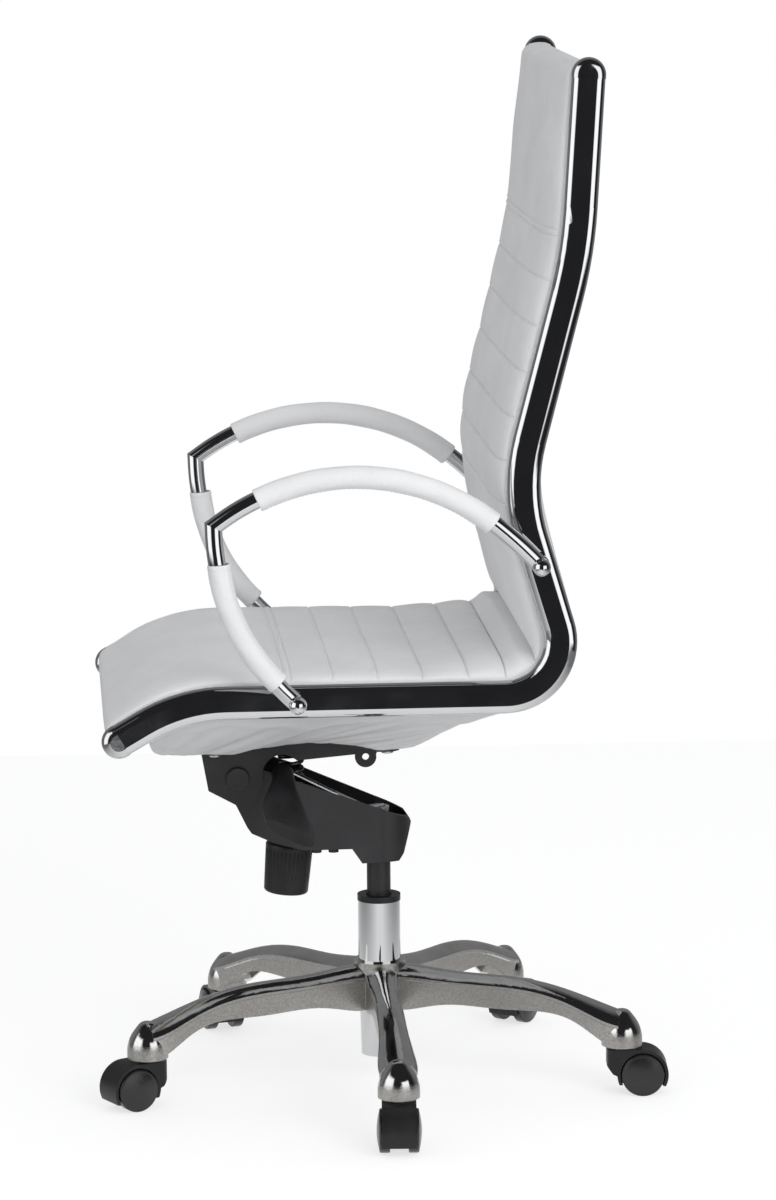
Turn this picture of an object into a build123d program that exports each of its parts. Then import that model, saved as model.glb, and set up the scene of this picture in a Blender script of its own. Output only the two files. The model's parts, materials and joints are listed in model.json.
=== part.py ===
from build123d import *
import os
from math import asin, cos, degrees, hypot, pi, radians, sin, tan

# Swivel office chair: two polished side rails carry one upholstered seat and back, which tilts on
# a mechanism, on a gas lift, in a five-legged base with twin-wheel castors.
# Millimetres. +Z up. The origin lies on the floor, under the axis of the gas lift.
# The chair faces -Y, and +X is on the sitter's left.

os.makedirs("parts", exist_ok=True)

# ---------------------------------------------------------------- driving sizes
# Clearances
RUNNING_GAP = 0.06        # radial, a shaft turning or sliding in its bore
LOOSE_GAP = 0.3           # between pieces that lie beside each other
SOFT_GAP = 0.3            # between upholstery and what it lies against

# Castors
LEG_COUNT = 5
WHEEL_RADIUS = 25.0
WHEEL_RIM = 22.0          # radius where the wheel's domed face starts
WHEEL_INNER = 10.4        # from the castor's middle plane to the wheel's inner face
WHEEL_TREAD_END = 20.5    # from the middle plane to the end of the tread
WHEEL_FACE = 25.5         # from the middle plane to the top of the wheel's dome
WHEEL_NUB = 2.0           # radius of the flat in the middle of the dome
CASTOR_TRAIL = 24.0       # from the swivel axis to the axle
CASTOR_TURNS = (-4.0, 14.0, 0.0, -20.0, 10.0)   # how far each castor is swivelled from its leg
FENDER_RADIUS = 30.0
FENDER_HALF = 19.5        # half the width of the hood
FENDER_END = 20.0         # degrees that the fender reaches below the axle
WHEEL_ROOM = 1.4          # between the tread and the hood
WEB_HALF = 9.6            # half the web between the two wheels
POST_BACK = 18.0          # from the swivel axis to the back of the hood
AXLE_RADIUS = 3.0
AXLE_END = 19.0           # from the middle plane to the axle's end
STEM_RADIUS = 5.5
STEM_TOP = 80.0           # height of the stem's end in the leg
STEM_COLLAR = 9.0
CUP_CLEARANCE = 2.6       # between the hood and the leg's cup

# Base
STEM_CIRCLE = 291.7       # radius on which the castors' stems stand
CUP_RADIUS = 24.0
CUP_HIGH = 43.0           # from the cup's floor to its crown
HUB_RADIUS = 31.0
HUB_FLOOR = 92.0
HUB_HIGH = 56.0
LEG_FLANK_STEP = 1.6      # how far the flank is set back under the polished crown

# Gas lift
TUBE_RADIUS = 25.0
TUBE_WALL = 2.0
TUBE_FOOT = 32.0          # height of the tube's lower end
TUBE_TAPER = 1.43         # degrees, the self-holding taper below the hub's top
TUBE_TOP = 218.0
RING_HIGH = 7.0
PISTON_RADIUS = 14.0
PISTON_WALL = 2.0
PISTON_SHOWN = 46.0       # length of piston tube between the ring and the housing at rest
PISTON_FOOT = 92.0        # height of the piston tube's lower end at rest
TAPER_LENGTH = 46.0       # of the piston tube's upper end in the housing
PISTON_TAPER = 1.2        # degrees
ROD_RADIUS = 5.0
ROD_TOP = 196.0
ROD_COLLAR = 9.0
BEARING_RADIUS = 15.0
VALVE_RADIUS = 3.5
VALVE_PROUD = 7.0
VALVE_GAP = 0.5           # from the valve pin to the lever's shoe
VALVE_TRAVEL = 5.5
VALVE_DEEP = 26.0         # the pin's bore, below the piston tube's top
FOOT_PLATE = 4.0          # thickness of the outer tube's floor

# Tilt mechanism
HOUSING_HALF = 58.0       # half the housing's width at the pivot
HOUSING_WALL = 5.0
NOSE_RADIUS = 38.0        # round the gas lift
FLOOR_RISE = 18.0         # of the housing's underside beside the boss
TROUGH_RISE = 27.0        # of the trough's floor
BUSH_LONG = 20.0
STOP_X = 16.0             # the two studs under the housing's floor
STOPS_Y = (-74.0, -54.0)
BOSS_RADIUS = 23.0
PIVOT_Y = -167.5
PIVOT_RISE = 109.0        # from the housing's underside up to the pivot
PIVOT_RADIUS = 6.0
BUSH_WALL = 2.0
PIVOT_HEAD = 13.5
PLATE_RISE = 36.0         # from the pivot up to the plate's pads
PLATE_SHEET = 3.0
PLATE_HALF = 90.0
PLATE_FRONT = -210.0
PLATE_REAR = 20.0
CHEEK_GAP = 3.0           # between the housing's side and the plate's side wall
ARCH_RISE = 12.0
ARCH_FRONT = -178.0
ARCH_REAR = -11.0
BOLT_SPAN_Y = 200.0       # the seat's bolt pattern, along the seat
BOLT_ROOM = 3.8           # between the plate's side wall and a bolt's head
BOLT_MIDDLE_Y = -94.0
BOLT_RADIUS = 4.0
BOLT_HEAD = 7.2
LUG_Y = -18.5
LUG_DROP = 13.5           # below the plate's pads
LUG_RADIUS = 12.5
LUG_HOLE = 4.0

# Tension knob and spring
KNOB_RADIUS = 28.0
KNOB_HIGH = 60.0
KNOB_Y = -107.3
KNOB_MIDDLE = 11.0        # the knob's middle below the housing's underside
KNOB_LEAN = 5.0           # degrees, foot towards the front
KNOB_RIBS = 36
SCREW_RADIUS = 5.0
SPRING_RADIUS = 13.0      # to the middle of the wire
SPRING_WIRE = 2.5
SPRING_PITCH = 9.5
CUP_GAP = 3.5             # from the nut boss to the spring cup

# Control lever
LEVER_Y = -115.4
WIRE_RUN_X = 28.5         # the wire's run back to the gas lift, off the middle
LEVER_RISE = 113.0        # of the wire's pivot above the housing's underside
WIRE_RADIUS = 4.0
LEVER_REACH = 151.0       # from the wire's outer bend to the tip of the handle
LEVER_FALL = 14.0         # degrees that the lever slopes down outwards
SLIDER_RADIUS = 8.0       # of the bush that the wire rocks in, which slides in the housing's wall
SLIDER_HALF = 9.0         # half its length
NOTCH_ROOM = 15.0         # round that bush, in the plate's side wall
ROCK_GAP = 0.85           # round the wire in that bush
SHOE_RADIUS = 13.0        # the flat shoe over the valve pin
SHOE_SKIN = 1.0           # below the wire
HANDLE_NECK = 13.0
HANDLE_LONG = 30.5        # half the lens-shaped tip's length
HANDLE_THICK = 7.5        # half its thickness
HANDLE_TILT = 29.0        # degrees, front edge up

# Side rails
BODY_WIDTH = 502.5        # between the middle planes of the two rails
RAIL_THICK = 20.0
RAIL_HIGH = 37.5
RAIL_EDGE = 9.9           # the flat-oval tube's edges are half round
RAIL_WALL = 2.0
RAIL_RISE = 89.0          # from the plate's pads to the rails' centre line
FRONT_REACH = 68.0        # the fall at the front of the seat
FRONT_FALL = 39.5
SEAT_FRONT = -236.0       # corners of the rails' centre line
SEAT_REAR = 210.0
WAIST_Y = 140.0
WAIST_RISE = 233.0
SHOULDER_Y = 209.0
SHOULDER_RISE = 498.5
TOP_Y = 220.8
TOP_RISE = 689.5
FRONT_BEND = 180.0        # bend radii
SEAT_BEND = 62.0
WAIST_BEND = 205.0
SHOULDER_BEND = 515.0
CAP_LONG = 23.0
CAP_PROUD = 0.5
SPIGOT_LONG = 16.0
TIE_RADIUS = 6.0          # the tubes that tie the rails together
TIE_PLACES = (            # stretch of the rail, share along it
    ("seat", 0.19), ("seat", 0.76), ("lumbar", 0.5), ("back", 0.5), ("head", 0.62),
)

# Upholstery, as distances from the rails' centre line towards the sitter
SHELL_HALF = 4.5          # half the thickness of the plywood shell
SEAT_DEPTHS = (26.0, 28.0, 36.0)         # at the seat's front, at its first bend and in the crease
BACK_DEPTHS = (36.0, 27.0, 42.0, 34.0)   # in the crease, at waist, shoulder and top
PAD_EDGE = 13.0
COVER_OUT = 19.5          # the back cover's outer face, behind the centre line
COVER_WAIST = 26.5        # the same at the waist
COVER_IN = 17.4
BAG_SKIN = 1.7
BAG_FRONT = -262.0        # the flat under the seat
BAG_REAR = 28.0
BAG_RIM_FRONT = -291.0    # where the cover meets the shell
BAG_RIM_REAR = 172.0
BAG_RIM_DROP = 19.0       # below the rails' centre line
CROSSBAR_SHEET = 6.0
CROSSBAR_WIDE = 34.0
CROSSBAR_FLAT = 84.0      # half the flat part
CROSSBAR_SHOULDER = 190.0
CROSSBAR_END = 225.0

# Arms
ARM_STANDOFF = 23.6       # from the rail's outer face to the arm's middle plane
ARM_RADIUS = 9.75
ARM_WALL = 1.6
ARM_CORNER_Y = -199.5
ARM_CORNER_RISE = 204.0   # arm points above the rails' centre line along the seat
ARM_CORNER_RUN = 10.0     # straight run each way from the mitred corner
ARM_TOP_ANGLE = 35.5      # degrees, the top's slope at the corner
ARM_POST_ANGLE = -88.0    # the front post's slope at the corner
ARM_FALL_Y = 115.0
ARM_FALL_RISE = 199.0
ARM_REAR_Y = 163.2
ARM_REAR_RISE = 153.1
ARM_FRONT_Y = -108.9
ARM_FRONT_RISE = 3.4
ARM_KNUCKLE = 10.0
ARM_SCREW = 4.0
SLEEVE_RADIUS = 13.6
SLEEVE_TOP = (0.14, 0.985)      # shares of the upper arc that the sleeve covers
SLEEVE_POST = (0.15, 0.857)     # shares of the front post's arc

# ---------------------------------------------------------------- places worked out from the sizes
HOOD_TOP = WHEEL_RADIUS + FENDER_RADIUS
CUP_FLOOR = HOOD_TOP + CUP_CLEARANCE
CUP_CROWN = CUP_FLOOR + CUP_HIGH
HUB_TOP = HUB_FLOOR + HUB_HIGH
RING_TOP = TUBE_TOP + RING_HIGH
HOUSING_Z = RING_TOP + PISTON_SHOWN
PISTON_TOP = HOUSING_Z + TAPER_LENGTH
VALVE_TOP = PISTON_TOP + VALVE_PROUD
VALVE_FLOOR = PISTON_TOP - VALVE_DEEP
PIVOT_Z = HOUSING_Z + PIVOT_RISE
PLATE_Z = PIVOT_Z + PLATE_RISE
RAIL_Z = PLATE_Z + RAIL_RISE
RAIL_X = BODY_WIDTH / 2
RAIL_IN = RAIL_X - RAIL_THICK / 2
RAIL_OUT = RAIL_X + RAIL_THICK / 2
PAD_HALF = RAIL_IN - SOFT_GAP
ARM_X = RAIL_OUT + ARM_STANDOFF
LEVER_Z = HOUSING_Z + LEVER_RISE
PLATE_CHEEK = HOUSING_HALF + CHEEK_GAP  # from the middle to the inner face of the plate's side wall
LEVER_X = HOUSING_HALF - HOUSING_WALL / 2
BOLT_X = PLATE_CHEEK + PLATE_SHEET + BOLT_ROOM + BOLT_HEAD
BOLT_PLACES = [
    (side * BOLT_X, BOLT_MIDDLE_Y + end * BOLT_SPAN_Y / 2) for side in (-1, 1) for end in (-1, 1)
]
RAIL_CORNERS = [
    Vector(SEAT_FRONT - FRONT_REACH, RAIL_Z - FRONT_FALL),
    Vector(SEAT_FRONT, RAIL_Z),
    Vector(SEAT_REAR, RAIL_Z),
    Vector(WAIST_Y, RAIL_Z + WAIST_RISE),
    Vector(SHOULDER_Y, RAIL_Z + SHOULDER_RISE),
    Vector(TOP_Y, RAIL_Z + TOP_RISE),
]
RAIL_STRETCHES = ["front", "seat", "lumbar", "back", "head"]
RAIL_BENDS = [FRONT_BEND, SEAT_BEND, WAIST_BEND, SHOULDER_BEND]


# ---------------------------------------------------------------- helpers
def leg_of_rail(number):
    """Direction of one straight stretch of the rails' centre line, in the side view."""
    return (RAIL_CORNERS[number] - RAIL_CORNERS[number - 1]).normalized()


def sitter_side(direction):
    """The direction square to a stretch of the rail, towards the sitter."""
    return Vector(-direction.Y, direction.X)


def beside_rail(number, share, shift):
    """A point beside one stretch of the rail, `shift` towards the sitter, in the side view."""
    start, end = RAIL_CORNERS[number - 1], RAIL_CORNERS[number]
    return start + (end - start) * share + sitter_side(leg_of_rail(number)) * shift


def rail_parallel(shifts):
    """Corners and bend radii of a line beside the rail's, one shift towards the sitter per corner."""
    last = len(RAIL_CORNERS) - 1
    corners = [RAIL_CORNERS[0] + sitter_side(leg_of_rail(1)) * shifts[0]]
    bends = []
    for number in range(1, last):
        before = sitter_side(leg_of_rail(number))
        after = sitter_side(leg_of_rail(number + 1))
        mitre = (before + after) * (shifts[number] / (1 + before.dot(after)))
        turns_to_sitter = before.cross(after).Z > 0
        corners.append(RAIL_CORNERS[number] + mitre)
        bends.append(RAIL_BENDS[number - 1] + (-shifts[number] if turns_to_sitter else shifts[number]))
    corners.append(RAIL_CORNERS[last] + sitter_side(leg_of_rail(last)) * shifts[last])
    return corners, bends


def layer_face(low, high):
    """Side view of a layer that follows the rails, between two lines beside them."""
    with BuildSketch(Plane.YZ) as face:
        with BuildLine():
            corners, bends = rail_parallel(low)
            inner = FilletPolyline(*corners, radius=bends)
            corners, bends = rail_parallel(high)
            outer = FilletPolyline(*corners, radius=bends)
            Line(inner @ 0, outer @ 0)
            Line(inner @ 1, outer @ 1)
        make_face()
    return face.sketch


def even(shift):
    """The same shift at every corner of the rail."""
    return [shift] * len(RAIL_CORNERS)


def castor_location(number):
    """Where castor `number` stands: under its leg, swivelled as it rests."""
    angle = number * 360 / LEG_COUNT
    place = (STEM_CIRCLE * cos(radians(angle)), STEM_CIRCLE * sin(radians(angle)), 0)
    return Location(place, (0, 0, angle + CASTOR_TURNS[number]))


# The plane through the corner between seat and back, where the two pads meet
seat_normal = sitter_side(leg_of_rail(2))
back_normal = sitter_side(leg_of_rail(3))
crease = (seat_normal + back_normal).normalized()
crease_across = Vector(crease.Y, -crease.X)
CREASE_PLANE = Plane(
    origin=(0, RAIL_CORNERS[2].X, RAIL_CORNERS[2].Y),
    x_dir=(1, 0, 0),
    z_dir=(0, crease_across.X, crease_across.Y),
)

# ================================================================ side rails and their caps
with BuildPart() as side_rail_left:
    with BuildLine(Plane.YZ.offset(RAIL_X)) as rail_line:
        FilletPolyline(*[(corner.X, corner.Y) for corner in RAIL_CORNERS], radius=RAIL_BENDS)
    rail_start = Plane(origin=rail_line.line @ 0, x_dir=(1, 0, 0), z_dir=rail_line.line % 0)
    with BuildSketch(rail_start):
        RectangleRounded(RAIL_THICK, RAIL_HIGH, RAIL_EDGE)
        RectangleRounded(
            RAIL_THICK - 2 * RAIL_WALL, RAIL_HIGH - 2 * RAIL_WALL, RAIL_EDGE - RAIL_WALL, mode=Mode.SUBTRACT
        )
    sweep(path=rail_line.wires()[0])
    # holes in the outer wall for the arm screws
    arm_feet = [(ARM_FRONT_Y, RAIL_Z + ARM_FRONT_RISE), (ARM_REAR_Y, RAIL_Z + ARM_REAR_RISE)]
    with BuildSketch(Plane.YZ.offset(RAIL_OUT + LOOSE_GAP)):
        with Locations(*arm_feet):
            Circle(ARM_SCREW + RUNNING_GAP)
    extrude(amount=-RAIL_WALL - 2 * LOOSE_GAP, mode=Mode.SUBTRACT)

with BuildPart() as side_rail_right:
    mirror(side_rail_left.part, about=Plane.YZ)

side_rail_left.part.label = "side_rail_left"
export_step(side_rail_left.part, "parts/side_rail_left.step")
side_rail_right.part.label = "side_rail_right"
export_step(side_rail_right.part, "parts/side_rail_right.step")


def end_cap(seam, outward):
    """A domed cap with a spigot, standing on the rail's open end."""
    side_plane = Plane(origin=seam, x_dir=outward, z_dir=(1, 0, 0))
    dome = RAIL_HIGH / 2 + CAP_PROUD
    with BuildPart() as cap:
        with BuildSketch(side_plane):
            with Locations((CAP_LONG - dome, 0)):
                Circle(dome)
            with Locations((0, 0)):
                Rectangle(CAP_LONG - dome, 2 * dome, align=(Align.MIN, Align.CENTER))
            with Locations((0, 0)):
                Rectangle(CAP_LONG, 2 * dome, align=(Align.MAX, Align.CENTER), mode=Mode.SUBTRACT)
        extrude(amount=RAIL_THICK / 2 + CAP_PROUD, both=True)
        seam_face = cap.faces().sort_by(Axis(seam, outward))[0]
        fillet([edge for edge in cap.edges() if edge not in seam_face.edges()], RAIL_EDGE)
        inside = 2 * (RAIL_WALL + RUNNING_GAP)
        with BuildSketch(Plane(origin=seam, x_dir=(1, 0, 0), z_dir=-outward)):
            RectangleRounded(RAIL_THICK - inside, RAIL_HIGH - inside, RAIL_EDGE - inside / 2)
        extrude(amount=SPIGOT_LONG)
    return cap.part


front_seam, front_outward = rail_line.line @ 0, -(rail_line.line % 0)
top_seam, top_outward = rail_line.line @ 1, rail_line.line % 1
with BuildPart() as rail_end_caps:
    add(end_cap(front_seam, front_outward))
    add(end_cap(top_seam, top_outward))
    mirror(about=Plane.YZ)
rail_end_caps.part.label = "rail_end_caps"
export_step(rail_end_caps.part, "parts/rail_end_caps.step")

# Tubes across the chair, welded to the rails' inner faces
tie_middles = []
for stretch, share in TIE_PLACES:
    middle = beside_rail(RAIL_STRETCHES.index(stretch) + 1, share, -SHELL_HALF - TIE_RADIUS - LOOSE_GAP)
    tie_middles.append((middle.X, middle.Y))
with BuildPart() as tie_tubes:
    with BuildSketch(Plane.YZ):
        with Locations(*tie_middles):
            Circle(TIE_RADIUS)
    extrude(amount=RAIL_IN, both=True)
tie_tubes.part.label = "tie_tubes"
export_step(tie_tubes.part, "parts/tie_tubes.step")

# ================================================================ shell and upholstery
with BuildPart() as inner_shell:
    extrude(layer_face(even(-SHELL_HALF), even(SHELL_HALF)), amount=PAD_HALF, both=True)
inner_shell.part.label = "inner_shell"
export_step(inner_shell.part, "parts/inner_shell.step")


def pad(depths, keep):
    """A seat or back pad: the layer between the shell and the pad's face, on one side of the crease."""
    corners, bends = rail_parallel(depths)
    with BuildLine(Plane.YZ) as face_line:
        FilletPolyline(*[(corner.X, corner.Y) for corner in corners], radius=bends)
    far_end = face_line.line @ (1 if keep == Keep.TOP else 0)

    def is_rim(edge):
        """Whether the sitter meets this edge: along the sides and across the far end."""
        middle = edge @ 0.5
        in_side = Vector(0, middle.Y, middle.Z)
        beside = abs(middle.X) > PAD_HALF - 1
        return face_line.line.distance_to(in_side) < 0.01 and (beside or (in_side - far_end).length < 1)

    with BuildPart() as cushion:
        extrude(layer_face(even(SHELL_HALF + SOFT_GAP), depths), amount=PAD_HALF, both=True)
        split(bisect_by=CREASE_PLANE.offset(SOFT_GAP / 2 if keep == Keep.TOP else -SOFT_GAP / 2), keep=keep)
        fillet(cushion.edges().filter_by(is_rim), PAD_EDGE)
    return cushion


seat_cushion = pad(SEAT_DEPTHS + BACK_DEPTHS[1:], Keep.BOTTOM)
seat_cushion.part.label = "seat_cushion"
export_step(seat_cushion.part, "parts/seat_cushion.step")

back_cushion = pad(SEAT_DEPTHS[:2] + BACK_DEPTHS, Keep.TOP)
back_cushion.part.label = "back_cushion"
export_step(back_cushion.part, "parts/back_cushion.step")

# The leather over the back's rear face, fuller at the waist
with BuildPart() as back_rear_cover:
    outer_line = even(-COVER_OUT)
    outer_line[3] = -COVER_WAIST
    extrude(layer_face(outer_line, even(-COVER_IN)), amount=PAD_HALF, both=True)
    split(bisect_by=CREASE_PLANE, keep=Keep.TOP)
back_rear_cover.part.label = "back_rear_cover"
export_step(back_rear_cover.part, "parts/back_rear_cover.step")


def bag_form(skin):
    """The hanging form under the seat, drawn in by `skin` all round."""
    bottom_half = PLATE_HALF - skin
    rim_half = PAD_HALF - skin
    with BuildPart() as form:
        with BuildSketch(Plane.XY.offset(PLATE_Z + LOOSE_GAP + skin)) as flat:
            with Locations((0, (BAG_FRONT + BAG_REAR) / 2)):
                Rectangle(2 * bottom_half, BAG_REAR - BAG_FRONT - 2 * skin)
        with BuildSketch(Plane.XY.offset(RAIL_Z - BAG_RIM_DROP)) as rim:
            with Locations((0, (BAG_RIM_FRONT + BAG_RIM_REAR) / 2)):
                Rectangle(2 * rim_half, BAG_RIM_REAR - BAG_RIM_FRONT - 2 * skin)
        loft([flat.sketch, rim.sketch], ruled=True)
        extrude(rim.sketch, amount=BAG_RIM_DROP)
        extrude(
            layer_face(even(-SHELL_HALF - LOOSE_GAP), even(SEAT_DEPTHS[0])), amount=BODY_WIDTH, both=True,
            mode=Mode.SUBTRACT,
        )
    return form.part.solids().sort_by(Axis.Z)[0]


with BuildPart() as seat_underside_cover:
    add(bag_form(0))
    add(bag_form(BAG_SKIN), mode=Mode.SUBTRACT)
    # opening in which the plate's arch lies
    with BuildSketch(Plane.XY.offset(PLATE_Z)):
        with Locations((0, (ARCH_FRONT + ARCH_REAR) / 2)):
            Rectangle(2 * PLATE_HALF + 2 * LOOSE_GAP, ARCH_REAR - ARCH_FRONT + 2 * LOOSE_GAP)
    extrude(amount=ARCH_RISE + LOOSE_GAP, mode=Mode.SUBTRACT)
    with BuildSketch(Plane.XY.offset(PLATE_Z)):
        with Locations(*BOLT_PLACES):
            Circle(BOLT_RADIUS + LOOSE_GAP)
    extrude(amount=2 * BAG_SKIN, mode=Mode.SUBTRACT)
    # holes in its sides for the two tubes under the seat
    with BuildSketch(Plane.YZ):
        with Locations(*tie_middles[:2]):
            Circle(TIE_RADIUS + LOOSE_GAP)
    extrude(amount=PAD_HALF, both=True, mode=Mode.SUBTRACT)
seat_underside_cover.part.label = "seat_underside_cover"
export_step(seat_underside_cover.part, "parts/seat_underside_cover.step")

def shell_underside(place_y):
    """Height of the shell's underside over the flat of the seat, and into its fall at the front."""
    turn = leg_of_rail(1).get_angle(leg_of_rail(2))
    bend_end = SEAT_FRONT + FRONT_BEND * tan(radians(turn / 2))
    reach = max(0.0, bend_end - place_y)
    radius = FRONT_BEND - SHELL_HALF
    return RAIL_Z - SHELL_HALF - radius + (radius**2 - reach**2) ** 0.5


# Bent flat bars between the shell's underside and the mechanism's plate
with BuildPart() as seat_crossbars:
    bar_low = PLATE_Z + LOOSE_GAP + BAG_SKIN
    for middle_y in (BOLT_MIDDLE_Y - BOLT_SPAN_Y / 2, BOLT_MIDDLE_Y + BOLT_SPAN_Y / 2):
        bar_high = shell_underside(middle_y - CROSSBAR_WIDE / 2) - CROSSBAR_SHEET
        with BuildSketch(Plane.XZ.offset(-middle_y)) as bar:
            with BuildLine():
                under = Polyline(
                    (-CROSSBAR_END, bar_high), (-CROSSBAR_SHOULDER, bar_high), (-CROSSBAR_FLAT, bar_low),
                    (CROSSBAR_FLAT, bar_low), (CROSSBAR_SHOULDER, bar_high), (CROSSBAR_END, bar_high),
                )
                over = Polyline(
                    (-CROSSBAR_END, bar_high + CROSSBAR_SHEET),
                    (-CROSSBAR_SHOULDER, bar_high + CROSSBAR_SHEET),
                    (-CROSSBAR_FLAT, bar_low + CROSSBAR_SHEET), (CROSSBAR_FLAT, bar_low + CROSSBAR_SHEET),
                    (CROSSBAR_SHOULDER, bar_high + CROSSBAR_SHEET),
                    (CROSSBAR_END, bar_high + CROSSBAR_SHEET),
                )
                Line(under @ 0, over @ 0)
                Line(under @ 1, over @ 1)
            make_face()
        extrude(amount=CROSSBAR_WIDE / 2, both=True)
    with Locations(*[(x, y, bar_low) for x, y in BOLT_PLACES]):
        Cylinder(
            BOLT_RADIUS + RUNNING_GAP, CROSSBAR_SHEET, align=(Align.CENTER, Align.CENTER, Align.MIN),
            mode=Mode.SUBTRACT,
        )
seat_crossbars.part.label = "seat_crossbars"
export_step(seat_crossbars.part, "parts/seat_crossbars.step")

# ================================================================ arms
arm_plane = Plane.YZ.offset(ARM_X)
arm_corner = (ARM_CORNER_Y, RAIL_Z + ARM_CORNER_RISE)
arm_rear = (ARM_REAR_Y, RAIL_Z + ARM_REAR_RISE)
arm_front = (ARM_FRONT_Y, RAIL_Z + ARM_FRONT_RISE)
with BuildLine(arm_plane) as arm_top_line:
    top_run = PolarLine(arm_corner, ARM_CORNER_RUN, ARM_TOP_ANGLE)
    arm_fall = arm_plane.from_local_coords((ARM_FALL_Y, RAIL_Z + ARM_FALL_RISE))
    top_arc = TangentArc(top_run @ 1, arm_fall, tangent=top_run % 1)
    TangentArc(top_arc @ 1, arm_plane.from_local_coords(arm_rear), tangent=top_arc % 1)
with BuildLine(arm_plane) as arm_post_line:
    post_run = PolarLine(arm_corner, ARM_CORNER_RUN, ARM_POST_ANGLE)
    post_arc = TangentArc(post_run @ 1, arm_plane.from_local_coords(arm_front), tangent=post_run % 1)
mitre_direction = ((post_run % 0) + (top_run % 0)).normalized()
MITRE_PLANE = Plane(
    origin=top_run @ 0, x_dir=(1, 0, 0), z_dir=Vector(1, 0, 0).cross(mitre_direction)
)


def arm_tube(path, keep):
    """One stretch of the arm, run on past the corner and cut off on the mitre."""
    over_run = Line(path @ 0 - (path % 0) * 2 * ARM_RADIUS, path @ 0)
    with BuildPart() as tube:
        with BuildSketch(Plane(origin=over_run @ 0, z_dir=path % 0)):
            Circle(ARM_RADIUS)
            Circle(ARM_RADIUS - ARM_WALL, mode=Mode.SUBTRACT)
        sweep(path=Wire([over_run] + list(path.edges())))
        split(bisect_by=MITRE_PLANE, keep=keep)
    return tube.part


with BuildPart() as arm_left:
    add(arm_tube(arm_top_line.wires()[0], Keep.TOP))
    add(arm_tube(arm_post_line.wires()[0], Keep.BOTTOM))
    # solid knuckles, drilled for the screws
    with BuildSketch(arm_plane):
        with Locations(arm_front, arm_rear):
            Circle(ARM_KNUCKLE)
    extrude(amount=ARM_KNUCKLE, both=True)
    with BuildSketch(arm_plane):
        with Locations(arm_front, arm_rear):
            Circle(ARM_SCREW + RUNNING_GAP)
    extrude(amount=2 * ARM_KNUCKLE, both=True, mode=Mode.SUBTRACT)

with BuildPart() as arm_right:
    mirror(arm_left.part, about=Plane.YZ)

arm_left.part.label = "arm_left"
export_step(arm_left.part, "parts/arm_left.step")
arm_right.part.label = "arm_right"
export_step(arm_right.part, "parts/arm_right.step")


def arm_sleeve(path, shares):
    """A padded leather sleeve round one stretch of the arm."""
    covered = path.trim(*shares)
    with BuildPart() as sleeve:
        with BuildSketch(Plane(origin=covered @ 0, z_dir=covered % 0)):
            Circle(SLEEVE_RADIUS)
            Circle(ARM_RADIUS + RUNNING_GAP, mode=Mode.SUBTRACT)
        sweep(path=covered)
    return sleeve


arm_pad_left = arm_sleeve(top_arc, SLEEVE_TOP)
with BuildPart() as arm_pad_right:
    mirror(arm_pad_left.part, about=Plane.YZ)
arm_pad_left.part.label = "arm_pad_left"
export_step(arm_pad_left.part, "parts/arm_pad_left.step")
arm_pad_right.part.label = "arm_pad_right"
export_step(arm_pad_right.part, "parts/arm_pad_right.step")

post_sleeve_left = arm_sleeve(post_arc, SLEEVE_POST)
with BuildPart() as post_sleeve_right:
    mirror(post_sleeve_left.part, about=Plane.YZ)
post_sleeve_left.part.label = "post_sleeve_left"
export_step(post_sleeve_left.part, "parts/post_sleeve_left.step")
post_sleeve_right.part.label = "post_sleeve_right"
export_step(post_sleeve_right.part, "parts/post_sleeve_right.step")

# Rings between the rails and the arms' knuckles
with BuildPart() as arm_collars:
    with BuildSketch(Plane.YZ.offset(RAIL_OUT)):
        with Locations(arm_front, arm_rear):
            Circle(ARM_KNUCKLE + ARM_WALL / 2)
            Circle(ARM_SCREW + RUNNING_GAP, mode=Mode.SUBTRACT)
    extrude(amount=ARM_X - ARM_KNUCKLE - RAIL_OUT)
    mirror(about=Plane.YZ)
arm_collars.part.label = "arm_collars"
export_step(arm_collars.part, "parts/arm_collars.step")

# Ball-headed screws through knuckle and collar into the rail
with BuildPart() as arm_screws:
    for foot_y, foot_z in (arm_front, arm_rear):
        head_x = ARM_X + ARM_KNUCKLE
        with BuildSketch(Plane(origin=(head_x, foot_y, foot_z), x_dir=(1, 0, 0), z_dir=(0, 0, 1))):
            with BuildLine():
                tip_x = RAIL_OUT - 3 * RAIL_WALL - head_x
                Polyline((ARM_KNUCKLE, 0), (tip_x, 0), (tip_x, ARM_SCREW), (0, ARM_SCREW), (0, ARM_KNUCKLE))
                RadiusArc((0, ARM_KNUCKLE), (ARM_KNUCKLE, 0), ARM_KNUCKLE)
            make_face()
        revolve(axis=Axis((head_x, foot_y, foot_z), (1, 0, 0)))
    mirror(about=Plane.YZ)
arm_screws.part.label = "arm_screws"
export_step(arm_screws.part, "parts/arm_screws.step")

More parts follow.
